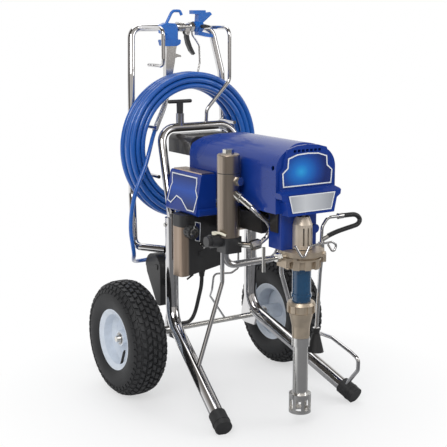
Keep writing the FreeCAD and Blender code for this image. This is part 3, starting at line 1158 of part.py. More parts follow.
def hoses(gland_end):
    """Hose coil, whip hose with its fittings, power cord with its put-away coil and plug, and drain hose."""
    first_y = coil_front_y + hose_diameter / 2
    spec = (Vector(coil_center_x, first_y, coil_center_z), X_AXIS, Z_AXIS, Y_AXIS,
            coil_outer_diameter / 2 - hose_diameter / 2, coil_turn_pitch, coil_layer_pitch,
            hose_turns_per_layer, hose_layers, coil_start_deg)
    start, end, ways = wound_coil("hose_coil", spec, hose_diameter)
    inlet = start - ways[0] * 42
    made["fluid_fittings"] = Part.makeCompound(
        [made["fluid_fittings"], hexagon(inlet, inlet + ways[0] * 20, 19).fuse(bar(inlet, start, 16)),
         hexagon(end + ways[-1] * 16, end + ways[-1] * 34, 22).fuse(bar(end, end + ways[-1] * 30, 17))])
    whip = [Vector(-38, 160, 866), Vector(-38, 160, 838), Vector(-60, 138, 806), Vector(-104, 102, 762),
            Vector(-134, 76, 732), Vector(-152, 59, 706), Vector(-168, 48, 674), Vector(-182, 44, 641),
            Vector(-200, 41, 608), Vector(-214, 40, 578), Vector(-223, 43, 542), Vector(-228, 47, 502),
            Vector(-229, 48, 458), Vector(-221, 50, 416), Vector(-210, 64, 386), Vector(-198, 92, 366),
            Vector(-178, 124, 352), Vector(-148, 143, 346), Vector(-112, 146, 346), Vector(-80, 138, 356),
            Vector(-50, 123, 377), Vector(-20, 105, 404), Vector(8, 89, 430),
            inlet - ways[0] * 28, inlet]
    keep("whip_hose", cord_tube("whip_hose", whip, whip_diameter))

    cx, cy = cord_coil_center
    rest_z = cord_diameter / 2 + rest_gap
    cord_spec = (Vector(cx, cy, rest_z), X_AXIS * -1, Y_AXIS, Z_AXIS, cord_coil_radius, cord_coil_pitch,
                 cord_coil_pitch, 2, 2, 0.0)
    cord_start, cord_end, cord_ways = wound_coil("cord_coil", cord_spec, cord_diameter)
    edge_x = cx - cord_coil_radius
    power = [gland_end, gland_end + Vector(0, 0, -24), Vector(-114, -135, 290), Vector(-112, -114, 242),
             Vector(-105, -76, 204), Vector(-104, -34, 188), Vector(-108, 0, 181), Vector(-118, 26, 168),
             Vector(-138, 44, 132), Vector(-160, 62, 90), Vector(-180, 84, 50), Vector(-198, 108, 18),
             Vector(-212, 132, rest_z), Vector(edge_x, 156, rest_z), cord_start]
    keep("power_cord", cord_tube("power_cord", power, cord_diameter))
    ahead = cord_ways[-1]
    tail = taper(cord_end, cord_end + ahead * 44, 13, 20)
    grip = bar(cord_end + ahead * 43, cord_end + ahead * 76, 34)
    grip = grip.cut(block((-400, 0), (100, 400), (-30, rest_gap)))
    face = cord_end + ahead * 75
    blades = [bar(face + Vector(x, 0, z), face + Vector(x, 0, z) + ahead * 20, 5)
              for x, z in ((-6, -3), (6, -3), (0, 6))]
    keep("cord_plug", tail.fuse([grip] + blades))

    drain = [Vector(150, drain_y, 545), Vector(172, drain_y, 545), Vector(196, drain_y - 1, 544),
             Vector(210, drain_y - 3, 530), Vector(200, drain_y - 6, 517), Vector(176, drain_y - 6, 513),
             Vector(148, drain_y - 4, 508), Vector(120, drain_y - 2, 502), Vector(98, drain_y, 494)]
    keep("drain_hose", cord_tube("drain_hose", drain, 13.0))
    keep_drain_joint()


def keep_drain_joint():
    """The short elbow on the pump mount that takes the drain hose's lower end."""
    foot = Vector(drain_x + 2, drain_y, 487.8)
    joint = bar(foot, Vector(98, drain_y, 494), 15).cut(made["drain_tube"]).cut(made["pump_mount"])
    keep("fluid_fittings", *(list(made["fluid_fittings"].Solids) + [joint]))


def let_into(name, other):
    """Cuts one node where another passes into it."""
    cut = [solid for piece in made[name].Solids for solid in piece.cut(made[other]).Solids]
    keep(name, *[solid for solid in cut if solid.Volume > 1])


def main():
    tyre, rim = wheel(-1)
    keep("tyre_left", tyre)
    keep("rim_left", rim)
    keep("tyre_right", mirrored(tyre))
    keep("rim_right", mirrored(rim))
    legs()
    upper_tubes()
    cradle_and_rods()
    axle_and_fasteners()
    tool_box()
    motor()
    drive_train()
    pump()
    keep("fluid_fittings", *fluid_side())
    gland_end = control()
    cover_and_plates()
    gun()
    hoses(gland_end)
    for name, other in (("electric_box", "drive_cradle"), ("gun_body", "whip_hose"),
                        ("fluid_fittings", "drain_hose"), ("cord_plug", "cord_coil"), ("cord_coil", "power_cord")):
        let_into(name, other)
    front = pump_y - mount_diameter / 2 - 2 - hook_wire / 2
    rear = handle_top_y + handle_diameter / 2
    middle = Vector(0, -(front + rear) / 2, 0)
    os.makedirs("parts", exist_ok=True)
    for name, shape in made.items():
        shape.translated(middle).exportStep("parts/" + name + ".step")
    print(len(made), "nodes, moved back by", round(middle.y, 1))


main()
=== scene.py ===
import json
import math

import bmesh
import bpy
from bpy.props import FloatProperty, FloatVectorProperty, IntProperty, PointerProperty
from mathutils import Matrix, Vector


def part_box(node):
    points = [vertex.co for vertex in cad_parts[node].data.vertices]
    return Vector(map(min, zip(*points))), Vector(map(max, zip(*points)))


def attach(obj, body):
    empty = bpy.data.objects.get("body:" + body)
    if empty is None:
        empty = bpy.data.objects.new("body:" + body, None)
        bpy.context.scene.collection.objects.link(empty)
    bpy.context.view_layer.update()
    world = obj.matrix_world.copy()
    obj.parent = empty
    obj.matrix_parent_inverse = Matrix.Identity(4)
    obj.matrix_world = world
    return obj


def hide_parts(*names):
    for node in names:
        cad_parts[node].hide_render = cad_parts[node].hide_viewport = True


bl_info = {
    "name": "Airless paint sprayer dressing",
    "version": (1, 0, 0),
    "blender": (4, 5, 0),
    "location": "View3D > Sidebar > Sprayer",
    "description": "Finishes, hoses, tyres and plates of an electric airless paint sprayer on its cart",
    "category": "Object",
}

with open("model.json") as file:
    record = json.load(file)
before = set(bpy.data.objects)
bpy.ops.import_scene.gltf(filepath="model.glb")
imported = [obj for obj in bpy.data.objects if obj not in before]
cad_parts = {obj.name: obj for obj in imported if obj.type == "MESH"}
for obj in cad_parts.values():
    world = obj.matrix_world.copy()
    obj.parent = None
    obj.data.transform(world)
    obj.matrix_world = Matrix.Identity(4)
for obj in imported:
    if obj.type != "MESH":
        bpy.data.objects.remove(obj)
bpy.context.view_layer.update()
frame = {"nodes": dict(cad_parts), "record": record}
MOVED_BACK = 0.1595
WHEEL_AXIS_Z = 0.165
WHEEL_OUT = 0.272
X_WAY, Y_WAY, Z_WAY = Vector((1, 0, 0)), Vector((0, 1, 0)), Vector((0, 0, 1))

DRAIN_CONE_TOP = 0.2475
TYRE_RINGS = (0.098, 0.142)
TYRE_RINGS_PER_METRE = 1150
TREAD_FOOT, TREAD_FADE = 0.150, 0.012
CASE_SIDE_X, CASE_SIDE_FADE, CASE_LID_Z = -0.168, 0.008, 0.503
BOX_TOP_PLATE_X, BOX_TOP_PLATE_Z = -0.098, (0.6478, 0.6525)
GLOW_X, GLOW_Z, GLOW_WIDE, GLOW_HIGH = -0.020, 0.682, 0.078, 0.062
SIDE_BADGE_FOOT, SIDE_BADGE_HEIGHT = 0.545, 0.10
LOWER_BADGE_HALF = 0.074

PLATE_THICKNESS = 0.0003
MOTOR_PLATE_Y, LOWER_PLATE_Y, SWITCH_PLATE_Y = -478.5, -500.0, -175.0
BOX_SIDE_X, BOX_SIDE_TOP, BOX_SIDE_LEAN, BOX_SIDE_HEIGHT = -146, 648, 20, 112
PLATE_STAND_OFF = 1.45
KNOB_AXIS_X, KNOB_AXIS_Z, KNOB_FACE_Y = -169, 493, -202
POINTER_SPOT = (-169, -201.2, 506.5)


def place(x, y, z):
    """A point given in millimetres from the axle, in the frame's metres."""
    return Vector((x / 1000, y / 1000 + MOVED_BACK, z / 1000))


def length_setting(name, description, default):
    return FloatProperty(name=name, description=description, default=default, unit="LENGTH")


def colour_setting(name, description, default):
    return FloatVectorProperty(name=name, description=description, subtype="COLOR", size=3, min=0, max=1,
                               default=default)


class SprayerSizes(bpy.types.PropertyGroup):
    hose_diameter: length_setting("Hose diameter", "Outside diameter of the paint hose", 0.0155)
    whip_diameter: length_setting("Whip hose diameter", "Outside diameter of the whip hose", 0.012)
    cord_diameter: length_setting("Power cord diameter", "Outside diameter of the power cord", 0.011)
    drain_diameter: length_setting("Drain hose diameter", "Outside diameter of the drain hose", 0.013)
    tyre_radius: length_setting("Tyre radius", "Radius over the tread blocks", 0.165)
    tread_depth: length_setting("Tread depth", "Height of the tread blocks", 0.0062)
    tread_blocks: IntProperty(name="Tread blocks", description="Blocks round the tyre in one row", default=44)
    plate_border: length_setting("Plate border", "Width of the raised rim on the badge plates", 0.0030)


class SprayerColours(bpy.types.PropertyGroup):
    cover_blue: colour_setting("Cover blue", "Motor cover and control box", (0.006, 0.036, 0.25))
    hose_blue: colour_setting("Hose blue", "Jacket of the paint hose", (0.006, 0.085, 0.42))
    gun_blue: colour_setting("Gun blue", "Plastic parts of the gun", (0.006, 0.135, 0.52))
    sleeve_blue: colour_setting("Sleeve blue", "Enamel on the pump sleeve", (0.005, 0.052, 0.125))
    rim_white: colour_setting("Rim white", "Enamel on the wheel rims", (0.69, 0.745, 0.82))
    zinc_tan: colour_setting("Zinc tan", "Warm plate on the pump castings", (0.56, 0.47, 0.365))


class SprayerStage(bpy.types.PropertyGroup):
    key_watts: FloatProperty(name="Key lamp", description="Power of the large lamp on the left", default=62.0)
    fill_watts: FloatProperty(name="Fill lamp", description="Power of the lamp on the right", default=20.0)
    top_watts: FloatProperty(name="Top lamp", description="Power of the lamp overhead", default=26.0)
    sky: FloatProperty(name="Sky light", description="Strength of the soft light all round", default=0.55)


def sizes():
    return bpy.context.scene.sprayer_sizes


def colours():
    return bpy.context.scene.sprayer_colours


class Val:
    """A shader socket that takes part in Python expressions."""

    def __init__(self, finish, socket):
        self.finish, self.socket = finish, socket

    def _math(self, operation, first, second):
        return self.finish.node("ShaderNodeMath", {"operation": operation}, {0: first, 1: second})

    def __add__(self, other):
        return self._math("ADD", self, other)

    __radd__ = __add__

    def __mul__(self, other):
        return self._math("MULTIPLY", self, other)

    __rmul__ = __mul__

    def __sub__(self, other):
        return self._math("SUBTRACT", self, other)

    def __rsub__(self, other):
        return self._math("SUBTRACT", other, self)

    def __truediv__(self, other):
        return self._math("DIVIDE", self, other)

    def __gt__(self, other):
        return self._math("GREATER_THAN", self, other)

    def __lt__(self, other):
        return self._math("LESS_THAN", self, other)

    def power(self, other):
        return self._math("POWER", self, other)

    def sine(self):
        return self.finish.node("ShaderNodeMath", {"operation": "SINE"}, {0: self})

    def root(self):
        return self.finish.node("ShaderNodeMath", {"operation": "SQRT"}, {0: self})

    def clamp(self):
        return self.finish.node("ShaderNodeClamp", {}, {0: self})


class Finish:
    """One material on the Principled shader, fed by node()."""

    def __init__(self, name, **plain):
        self.material = bpy.data.materials.new(name)
        self.material.use_nodes = True
        self.tree = self.material.node_tree
        self.tree.nodes.clear()
        out = self.tree.nodes.new("ShaderNodeOutputMaterial")
        self.shader = self.tree.nodes.new("ShaderNodeBsdfPrincipled")
        self.tree.links.new(self.shader.outputs[0], out.inputs[0])
        self.place = None
        for socket, value in plain.items():
            self.give(socket.replace("_", " ").title().replace("Ior", "IOR"), value)

    def _feed(self, socket, value):
        if isinstance(value, Val):
            self.tree.links.new(value.socket, socket)
        elif hasattr(socket.default_value, "__len__") and hasattr(value, "__len__"):
            socket.default_value = tuple(value) + (1.0,) * (len(socket.default_value) - len(value))
        elif hasattr(socket.default_value, "__len__"):
            socket.default_value = (value,) * 3 + (1.0,) * (len(socket.default_value) - 3)
        else:
            socket.default_value = value

    def node(self, kind, settings=None, values=None, out=0):
        made = self.tree.nodes.new(kind)
        for name, value in (settings or {}).items():
            if name == "stops":
                ramp = made.color_ramp
                while len(ramp.elements) < len(value):
                    ramp.elements.new(0.5)
                for element, (spot, colour) in zip(ramp.elements, value):
                    element.position = spot
                    element.color = tuple(colour) + (1.0,) if hasattr(colour, "__len__") else (colour,) * 3 + (1.0,)
            else:
                setattr(made, name, value)
        for name, value in (values or {}).items():
            self._feed(made.inputs[name], value)
        return Val(self, made.outputs[out])

    def give(self, socket, value):
        self._feed(self.shader.inputs[socket], value)
        return self

    def where(self):
        if self.place is None:
            self.place = self.node("ShaderNodeTexCoord", out="Object")
        return self.place

    def axes(self, vector=None):
        split = self.node("ShaderNodeSeparateXYZ", {}, {0: vector or self.where()})
        outs = split.socket.node.outputs
        return Val(self, outs[0]), Val(self, outs[1]), Val(self, outs[2])

    def noise(self, scale, detail=3.0, roughness=0.55, stretch=None):
        vector = self.where()
        if stretch:
            vector = self.node("ShaderNodeMapping", {}, {"Vector": vector, "Scale": stretch})
        return self.node("ShaderNodeTexNoise", {}, {"Vector": vector, "Scale": scale, "Detail": detail,
                                                    "Roughness": roughness})

    def cells(self, scale):
        return self.node("ShaderNodeTexVoronoi", {}, {"Vector": self.where(), "Scale": scale})

    def mix(self, amount, first, second):
        return self.node("ShaderNodeMix", {"data_type": "RGBA"}, {0: amount, 6: first, 7: second}, out=2)

    def ramp(self, value, stops):
        return self.node("ShaderNodeValToRGB", {"stops": stops}, {0: value})

    def bump(self, height, strength, distance=0.001):
        normal = self.node("ShaderNodeBump", {}, {"Height": height, "Strength": strength, "Distance": distance})
        return self.give("Normal", normal)


def shade(colour, amount):
    return tuple(min(1.0, c * amount) for c in colour)


def metal(name, colour, roughness, spread=0.08, grain=60, strength=0.05, stretch=None):
    """Bare or plated metal with a cloudy gloss and a fine surface."""
    finish = Finish(name, metallic=1.0)
    cloud = finish.noise(18, 4)
    fine = finish.noise(grain, 2, stretch=stretch)
    finish.give("Base Color", finish.mix(cloud, shade(colour, 0.93), shade(colour, 1.06)))
    finish.give("Roughness", cloud * spread + fine * (spread * 0.6) + (roughness - spread * 0.8))
    return finish.bump(fine, strength, 0.0006)


def moulded(name, colour, roughness, grain, strength, coat=0.0, dust=0.04):
    """Plastic or rubber with a moulded grain and a trace of dust in soft clouds."""
    finish = Finish(name, coat_weight=coat, coat_roughness=0.06)
    cloud = finish.noise(14, 5, 0.6)
    pale = tuple(c + dust * (0.5 - 0.3 * c) for c in colour)
    finish.give("Base Color", finish.mix(cloud.power(2.0), colour, pale))
    finish.give("Roughness", cloud * 0.12 + (roughness - 0.06))
    return finish.bump(finish.noise(grain, 2), strength, 0.0005)


def enamel(name, cloud, tones, gloss, peel=None, **plain):
    """Paint or a satin coat whose tone and gloss drift in soft clouds, with a fine peel."""
    finish = Finish(name, **plain)
    drift = finish.noise(*cloud)
    finish.give("Base Color", finish.mix(drift, *tones))
    finish.give("Roughness", drift * gloss[0] + gloss[1])
    if peel:
        scale, detail, strength, distance = peel
        finish.bump(finish.noise(scale, detail), strength, distance)
    return finish


def printed(name, measure, stops, **plain):
    """A smooth badge plate whose colour runs along a measure taken from the place on it."""
    finish = Finish(name, **plain)
    finish.give("Base Color", finish.ramp(measure(*finish.axes()).clamp(), stops))
    finish.give("Roughness", finish.noise(80, 2) * 0.06 + 0.22)
    return finish


def blue_finishes(tone):
    """Motor cover, drive housing, pump sleeve, hose jacket and gun plastic."""
    blue, sleeve, hose, gun = (tuple(t) for t in (tone.cover_blue, tone.sleeve_blue, tone.hose_blue, tone.gun_blue))
    return {
        "cover_blue": enamel("cover_gloss_blue", (5.5, 3), (shade(blue, 0.8), shade(blue, 1.25)), (0.08, 0.24),
                             (75, 1, 0.018, 0.0012), coat_weight=0.30, coat_roughness=0.05,
                             specular_ior_level=0.28),
        "housing_blue": enamel("drive_blue_enamel", (22, 4), (shade(blue, 0.75), shade(blue, 1.2)), (0.12, 0.26),
                               (300, 3, 0.10, 0.0006), coat_weight=0.35, coat_roughness=0.08,
                               specular_ior_level=0.3),
        "sleeve_blue": enamel("sleeve_enamel", (16, 3), (shade(sleeve, 0.8), shade(sleeve, 1.3)), (0.1, 0.22),
                              (140, 2, 0.03, 0.0006), coat_weight=1.0, coat_roughness=0.04),
        "hose_blue": enamel("hose_jacket_blue", (9, 4), (shade(hose, 0.8), (0.012, 0.145, 0.55)), (0.12, 0.25),
                            (240, 3, 0.06, 0.0006), coat_weight=0.8, coat_roughness=0.1),
        "gun_blue": enamel("gun_gloss_blue", (40, 3), (shade(gun, 0.75), shade(gun, 1.25)), (0.1, 0.26),
                           (350, 2, 0.05, 0.0004), coat_weight=0.6, coat_roughness=0.08),
    }


def black_finishes():
    """Rubber, plastic, black enamel and jackets, and the cream lever."""
    return {
        "cap_rubber": moulded("cap_rubber_black", (0.017, 0.017, 0.018), 0.5, 500, 0.25, dust=0.05),
        "dark_steel": moulded("satin_black_metal", (0.022, 0.022, 0.024), 0.36, 260, 0.12, coat=0.2),
        "box_plastic": moulded("grained_black_plastic", (0.02, 0.02, 0.021), 0.4, 900, 0.22, dust=0.05),
        "motor_black": moulded("motor_black_enamel", (0.021, 0.019, 0.018), 0.32, 180, 0.15, coat=0.35),
        "hose_black": moulded("drain_hose_black", (0.016, 0.016, 0.017), 0.42, 600, 0.12),
        "cord_black": moulded("cord_jacket_black", (0.015, 0.015, 0.016), 0.48, 700, 0.14),
        "lever_plastic": moulded("cream_plastic", (0.74, 0.70, 0.56), 0.3, 300, 0.05, coat=0.4),
    }


def metal_finishes(tone):
    """Chrome, steel, castings and brushed plate."""
    plate = Finish("brushed_plate", metallic=1.0)
    x, _, z = plate.axes()
    brushed = plate.noise(700, 2, stretch=(0.03, 1, 1))
    top = (x < BOX_TOP_PLATE_X) * (z > BOX_TOP_PLATE_Z[0]) * (z < BOX_TOP_PLATE_Z[1])
    plate.give("Base Color", plate.mix(top, plate.mix(brushed, (0.58, 0.60, 0.64), (0.80, 0.82, 0.85)),
                                       plate.mix(brushed, (0.52, 0.40, 0.31), (0.66, 0.53, 0.43))))
    plate.give("Roughness", brushed * 0.22 + 0.2)
    plate.bump(brushed, 0.1, 0.0003)

    tan = tuple(tone.zinc_tan)
    cast = Finish("warm_zinc_casting", metallic=0.72)
    cloud, pits = cast.noise(34, 5, 0.65), cast.noise(380, 4)
    cast.give("Base Color", cast.mix(cloud, shade(tan, 0.70), shade(tan, 1.30)))
    cast.give("Roughness", cloud * 0.18 + pits * 0.1 + 0.26)
    cast.bump(pits, 0.16, 0.0005)

    turned = Finish("turned_nickel_with_painted_highlights", metallic=1.0)
    rings = turned.noise(900, 2, stretch=(0.02, 0.02, 1))
    # Painted highlights: the vertical dark and light bands in the filter's base colour stand for its highlights and
    # reflections.
    painted_highlight_bands = turned.noise(75, 3, stretch=(1, 1, 0.03))
    turned.give("Base Color", turned.mix(painted_highlight_bands, (0.20, 0.155, 0.12), (0.66, 0.57, 0.48)))
    turned.give("Roughness", rings * 0.16 + painted_highlight_bands * 0.06 + 0.22)
    turned.bump(rings, 0.10, 0.0003)

    return {
        "plate_metal": plate, "zinc_casting": cast, "filter_steel": turned,
        "chrome_tube": metal("bright_chrome", (0.70, 0.695, 0.70), 0.075, 0.05, 25, 0.012),
        "axle_steel": metal("zinc_plate", (0.72, 0.71, 0.68), 0.22, 0.12, 160, 0.06),
        "gear_steel": metal("oiled_steel", (0.42, 0.41, 0.40), 0.33, 0.14, 200, 0.08),
        "core_iron": metal("laminated_iron", (0.30, 0.28, 0.26), 0.5, 0.15, 120, 0.2, (1, 8, 1)),
        "tube_steel": metal("polished_stainless", (0.90, 0.89, 0.87), 0.25, 0.08, 260, 0.03, (1, 1, 0.06)),
        "gun_metal": metal("polished_gun_casting", (0.76, 0.75, 0.74), 0.2, 0.12, 120, 0.06),
        "champagne": enamel("champagne_satin", (30, 4), ((0.60, 0.51, 0.41), (0.80, 0.70, 0.58)), (0.1, 0.34),
                            metallic=0.5),
    }


def two_tone_and_painted_reflection_finishes():
    """The drain line with its black cone, and the black switch case with its metal side, whose tan colour and dark
    streaks are a painted reflection.
    """
    dipped = Finish("drain_line_with_black_cone")
    plated = dipped.axes()[2] > DRAIN_CONE_TOP
    cloud = dipped.noise(25, 3)
    dipped.give("Base Color", dipped.mix(plated, (0.018, 0.018, 0.019), (0.76, 0.755, 0.75)))
    dipped.give("Metallic", plated)
    dipped.give("Roughness", cloud * 0.06 + (0.46 - plated * 0.38))
    dipped.bump(dipped.noise(260, 2), 0.04, 0.0004)

    case = Finish("switch_case_painted_reflection_side")
    x, _, z = case.axes()
    # Painted reflection: the metal side below the lid gets a tan colour with dark vertical streaks that stand in
    # for what it reflects.
    painted_reflection_side = ((CASE_SIDE_X - x) / CASE_SIDE_FADE).clamp() * (z < CASE_LID_Z)
    cloud = case.noise(60, 3, stretch=(1, 1, 0.04))
    case.give("Base Color", case.mix(painted_reflection_side, case.mix(cloud, (0.017, 0.017, 0.018), (0.030, 0.030, 0.031)),
                                     case.mix(cloud, (0.24, 0.17, 0.125), (0.56, 0.45, 0.36))))
    case.give("Metallic", painted_reflection_side * 0.9)
    case.give("Roughness", cloud * 0.14 + (0.34 - painted_reflection_side * 0.1))
    case.bump(case.noise(700, 2), 0.12, 0.0005)
    return {"drain_line": dipped, "switch_case": case}


def wheel_finishes(tone):
    """Tyre rubber with ribs on its wall and dust on its tread, and the rim's mottled enamel."""
    tyre = Finish("turf_tyre_rubber")
    _, y, z = tyre.axes()
    back, up = y - MOVED_BACK, z - WHEEL_AXIS_Z
    reach = (back * back + up * up).root()
    rings = (reach * TYRE_RINGS_PER_METRE).sine() * ((reach < TYRE_RINGS[1]) * (reach > TYRE_RINGS[0]))
    dusty = tyre.noise(32, 5, 0.65)
    tread = ((reach - TREAD_FOOT) / TREAD_FADE).clamp()
    tyre.give("Base Color", tyre.mix((dusty * (tread * 0.7 + 0.25)).clamp(), (0.012, 0.0125, 0.014),
                                     (0.046, 0.047, 0.05)))
    tyre.give("Roughness", dusty * 0.2 + (0.5 - tread * 0.06))
    tyre.bump(rings * 0.35 + tyre.noise(420, 3) * 0.5, 0.32, 0.0009)

    white = tuple(tone.rim_white)
    rim = Finish("rim_enamel", coat_weight=0.25, coat_roughness=0.12)
    mottle, specks = rim.noise(38, 6, 0.7), rim.noise(210, 2)
    rim.give("Base Color", rim.mix(mottle.power(1.6), shade(white, 1.12), shade(white, 0.74)))
    rim.give("Roughness", mottle * 0.2 + 0.28)
    rim.bump(specks + mottle, 0.10, 0.0006)
    return {"tyre_rubber": tyre, "rim_paint": rim}


def plate_finishes():
    """The badge plates' raised white border and their bare faces, and the circuit board."""
    border = Finish("plate_border_white", coat_weight=0.5, coat_roughness=0.1)
    border.give("Base Color", border.mix(border.noise(60, 2), (0.76, 0.78, 0.80), (0.88, 0.89, 0.90)))
    border.give("Roughness", border.noise(150, 2) * 0.1 + 0.25)

    silver = Finish("badge_silver", metallic=0.4)
    along = ((silver.axes()[0] + LOWER_BADGE_HALF) / (2 * LOWER_BADGE_HALF)).clamp()
    silver.give("Base Color", silver.ramp(along, [(0.0, (0.50, 0.52, 0.56)), (0.35, (0.80, 0.82, 0.85)),
                                                  (0.7, (0.62, 0.64, 0.68)), (1.0, (0.40, 0.42, 0.46))]))
    silver.give("Roughness", silver.noise(500, 2, stretch=(0.03, 1, 1)) * 0.15 + 0.3)

    board = Finish("board_green")
    cloud = board.cells(260)
    board.give("Base Color", board.mix(cloud, (0.006, 0.10, 0.045), (0.02, 0.2, 0.09)))
    board.give("Roughness", cloud * 0.2 + 0.3)

    badge = printed("badge_gradient_blue",
                    lambda x, y, z: (((z - GLOW_Z) / GLOW_HIGH).power(2.0)
                                     + ((x - GLOW_X) / GLOW_WIDE).power(2.0)).root(),
                    [(0.0, (0.02, 0.36, 0.74)), (0.30, (0.008, 0.17, 0.58)), (0.68, (0.006, 0.06, 0.33)),
                     (1.0, (0.006, 0.022, 0.15))], coat_weight=0.7, coat_roughness=0.08)
    side = printed("side_badge_blue", lambda x, y, z: (z - SIDE_BADGE_FOOT) / SIDE_BADGE_HEIGHT,
                   [(0.0, (0.004, 0.012, 0.07)), (0.55, (0.008, 0.07, 0.40)), (1.0, (0.006, 0.018, 0.11))],
                   coat_weight=0.2, coat_roughness=0.1, specular_ior_level=0.25)
    return {"plate_border": border, "badge_silver": silver, "board_green": board, "badge_blue": badge,
            "side_badge_blue": side}


def make_finishes():
    tone = colours()
    made = {**blue_finishes(tone), **black_finishes(), **metal_finishes(tone), **two_tone_and_painted_reflection_finishes(),
            **wheel_finishes(tone), **plate_finishes()}
    return {slot: finish.material for slot, finish in made.items()}


FINISHES = {}


def finish(slot):
    if not FINISHES:
        FINISHES.update(make_finishes())
    return FINISHES[slot]


def deselect():
    if bpy.context.object and bpy.context.object.mode != "OBJECT":
        bpy.ops.object.mode_set(mode="OBJECT")
    bpy.ops.object.select_all(action="DESELECT")


def only(piece):
    deselect()
    piece.select_set(True)
    bpy.context.view_layer.objects.active = piece
    return piece


def added(name):
    piece = bpy.context.object
    piece.name = piece.data.name = name
    return piece


def settle(piece, body, slot, *replaced, extra=()):
    """Puts the piece's place into its mesh, gives it its finish and lets it ride on its body."""
    only(piece)
    bpy.ops.object.transform_apply(location=True, rotation=True, scale=True)
    if not piece.data.materials:
        for name in (slot,) + tuple(extra):
            piece.data.materials.append(finish(name))
    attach(piece, body)
    if replaced:
        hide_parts(*replaced)
    deselect()
    return piece


def select_faces(piece, facing):
    """In edit mode, selects the faces that look the given way."""
    graph = bmesh.from_edit_mesh(piece.data)
    for face in graph.faces:
        face.select_set(face.normal.dot(facing) > 0.9)
    bmesh.update_edit_mesh(piece.data)


def edge_rounded(piece, width):
    bevel = piece.modifiers.new("edges", "BEVEL")
    bevel.width, bevel.segments = width, 2
    bevel.limit_method, bevel.angle_limit = "ANGLE", math.radians(40)
    only(piece)
    bpy.ops.object.modifier_apply(modifier=bevel.name)
    bpy.ops.object.shade_smooth_by_angle(angle=math.radians(40))
    return piece


def outline_plate(name, corners, border, rim_height, facing):
    """A thin plate on a list of corners with a raised border; its inner face takes the second finish."""
    deselect()
    bpy.ops.mesh.primitive_circle_add(vertices=len(corners), radius=0.01, fill_type="NGON")
    piece = added(name)
    for vertex, corner in zip(piece.data.vertices, corners):
        vertex.co = corner
    piece.data.update()
    only(piece)
    bpy.ops.object.mode_set(mode="EDIT")
    bpy.ops.mesh.select_all(action="SELECT")
    bpy.ops.mesh.normals_make_consistent(inside=False)
    faces = bmesh.from_edit_mesh(piece.data).faces
    faces.ensure_lookup_table()
    normal = faces[0].normal.copy()
    if normal.dot(facing) < 0:
        bpy.ops.mesh.flip_normals()
        normal = -normal
    bpy.ops.mesh.extrude_region_move(TRANSFORM_OT_translate={"value": normal * (PLATE_THICKNESS + rim_height)})
    bpy.ops.mesh.inset(thickness=border, depth=0)
    bpy.ops.mesh.extrude_region_move(TRANSFORM_OT_translate={"value": -normal * rim_height})
    graph = bmesh.from_edit_mesh(piece.data)
    for face in graph.faces:
        if face.select:
            face.material_index = 1
    bmesh.update_edit_mesh(piece.data)
    bpy.ops.mesh.select_all(action="SELECT")
    bpy.ops.mesh.normals_make_consistent(inside=False)
    bpy.ops.object.mode_set(mode="OBJECT")
    return piece


def route_curve(name, points, diameter, slot, resolution=8):
    """A cord as a NURBS curve whose control points are its route."""
    curve = bpy.data.curves.new(name, "CURVE")
    curve.dimensions = "3D"
    spline = curve.splines.new("NURBS")
    spline.points.add(len(points) - 1)
    for knot, point in zip(spline.points, points):
        knot.co = (point[0], point[1], point[2], 1.0)
    spline.order_u = 3
    spline.use_endpoint_u = True
    spline.resolution_u = resolution
    curve.bevel_depth = diameter / 2
    curve.bevel_resolution = 5
    curve.use_fill_caps = True
    piece = bpy.data.objects.new(name, curve)
    bpy.context.collection.objects.link(piece)
    curve.materials.append(finish(slot))
    return piece


def line_of(piece):
    """The points along a route's smooth line."""
    depth = piece.data.bevel_depth
    piece.data.bevel_depth = 0.0
    bpy.context.view_layer.update()
    graph = bpy.context.evaluated_depsgraph_get()
    mesh = bpy.data.meshes.new_from_object(piece.evaluated_get(graph))
    points = [vertex.co.copy() for vertex in mesh.vertices]
    bpy.data.meshes.remove(mesh)
    piece.data.bevel_depth = depth
    return points


def wound_points(centre, first, second, axis, radius, pitch, rise, per_layer, layers, start, per_turn):
    """Route points of a wound tube that spirals in and out and climbs a layer at each reversal."""
    # A smooth route passes inside its points, so the round turns are widened by that share.
    widen = 1 / (0.75 + 0.25 * math.cos(2 * math.pi / per_turn))
    points = []
    for n in range(per_layer * layers * per_turn + 1):
        turn = n / per_turn
        layer = min(int(turn / per_layer), layers - 1)
        along = turn - layer * per_layer
        inward = along if layer % 2 == 0 else per_layer - along
        climb = sum(min(1.0, max(0.0, (turn - (m * per_layer - 0.25)) / 0.5)) for m in range(1, layers))
        angle = math.radians(start) + 2 * math.pi * turn
        reach = (radius - inward * pitch) * (widen if 0 < n < per_layer * layers * per_turn else 1)
        points.append(centre + first * (reach * math.cos(angle)) + second * (reach * math.sin(angle))
                      + axis * (climb * rise))
    return points


class SPRAYER_OT_camera(bpy.types.Operator):
    """Places the camera at the photograph's viewing angle"""
    bl_idname = "sprayer.camera"
    bl_label = "Camera"

    def execute(self, context):
        data = bpy.data.cameras.new("viewpoint")
        data.lens, data.sensor_width = 87.19, 36.0
        camera = bpy.data.objects.new("viewpoint", data)
        camera.location = (-1.6765, -2.4833, 1.0802)
        camera.rotation_euler = (math.radians(78.92), 0, math.radians(-33.28))
        context.collection.objects.link(camera)
        context.scene.camera = camera
        return {"FINISHED"}


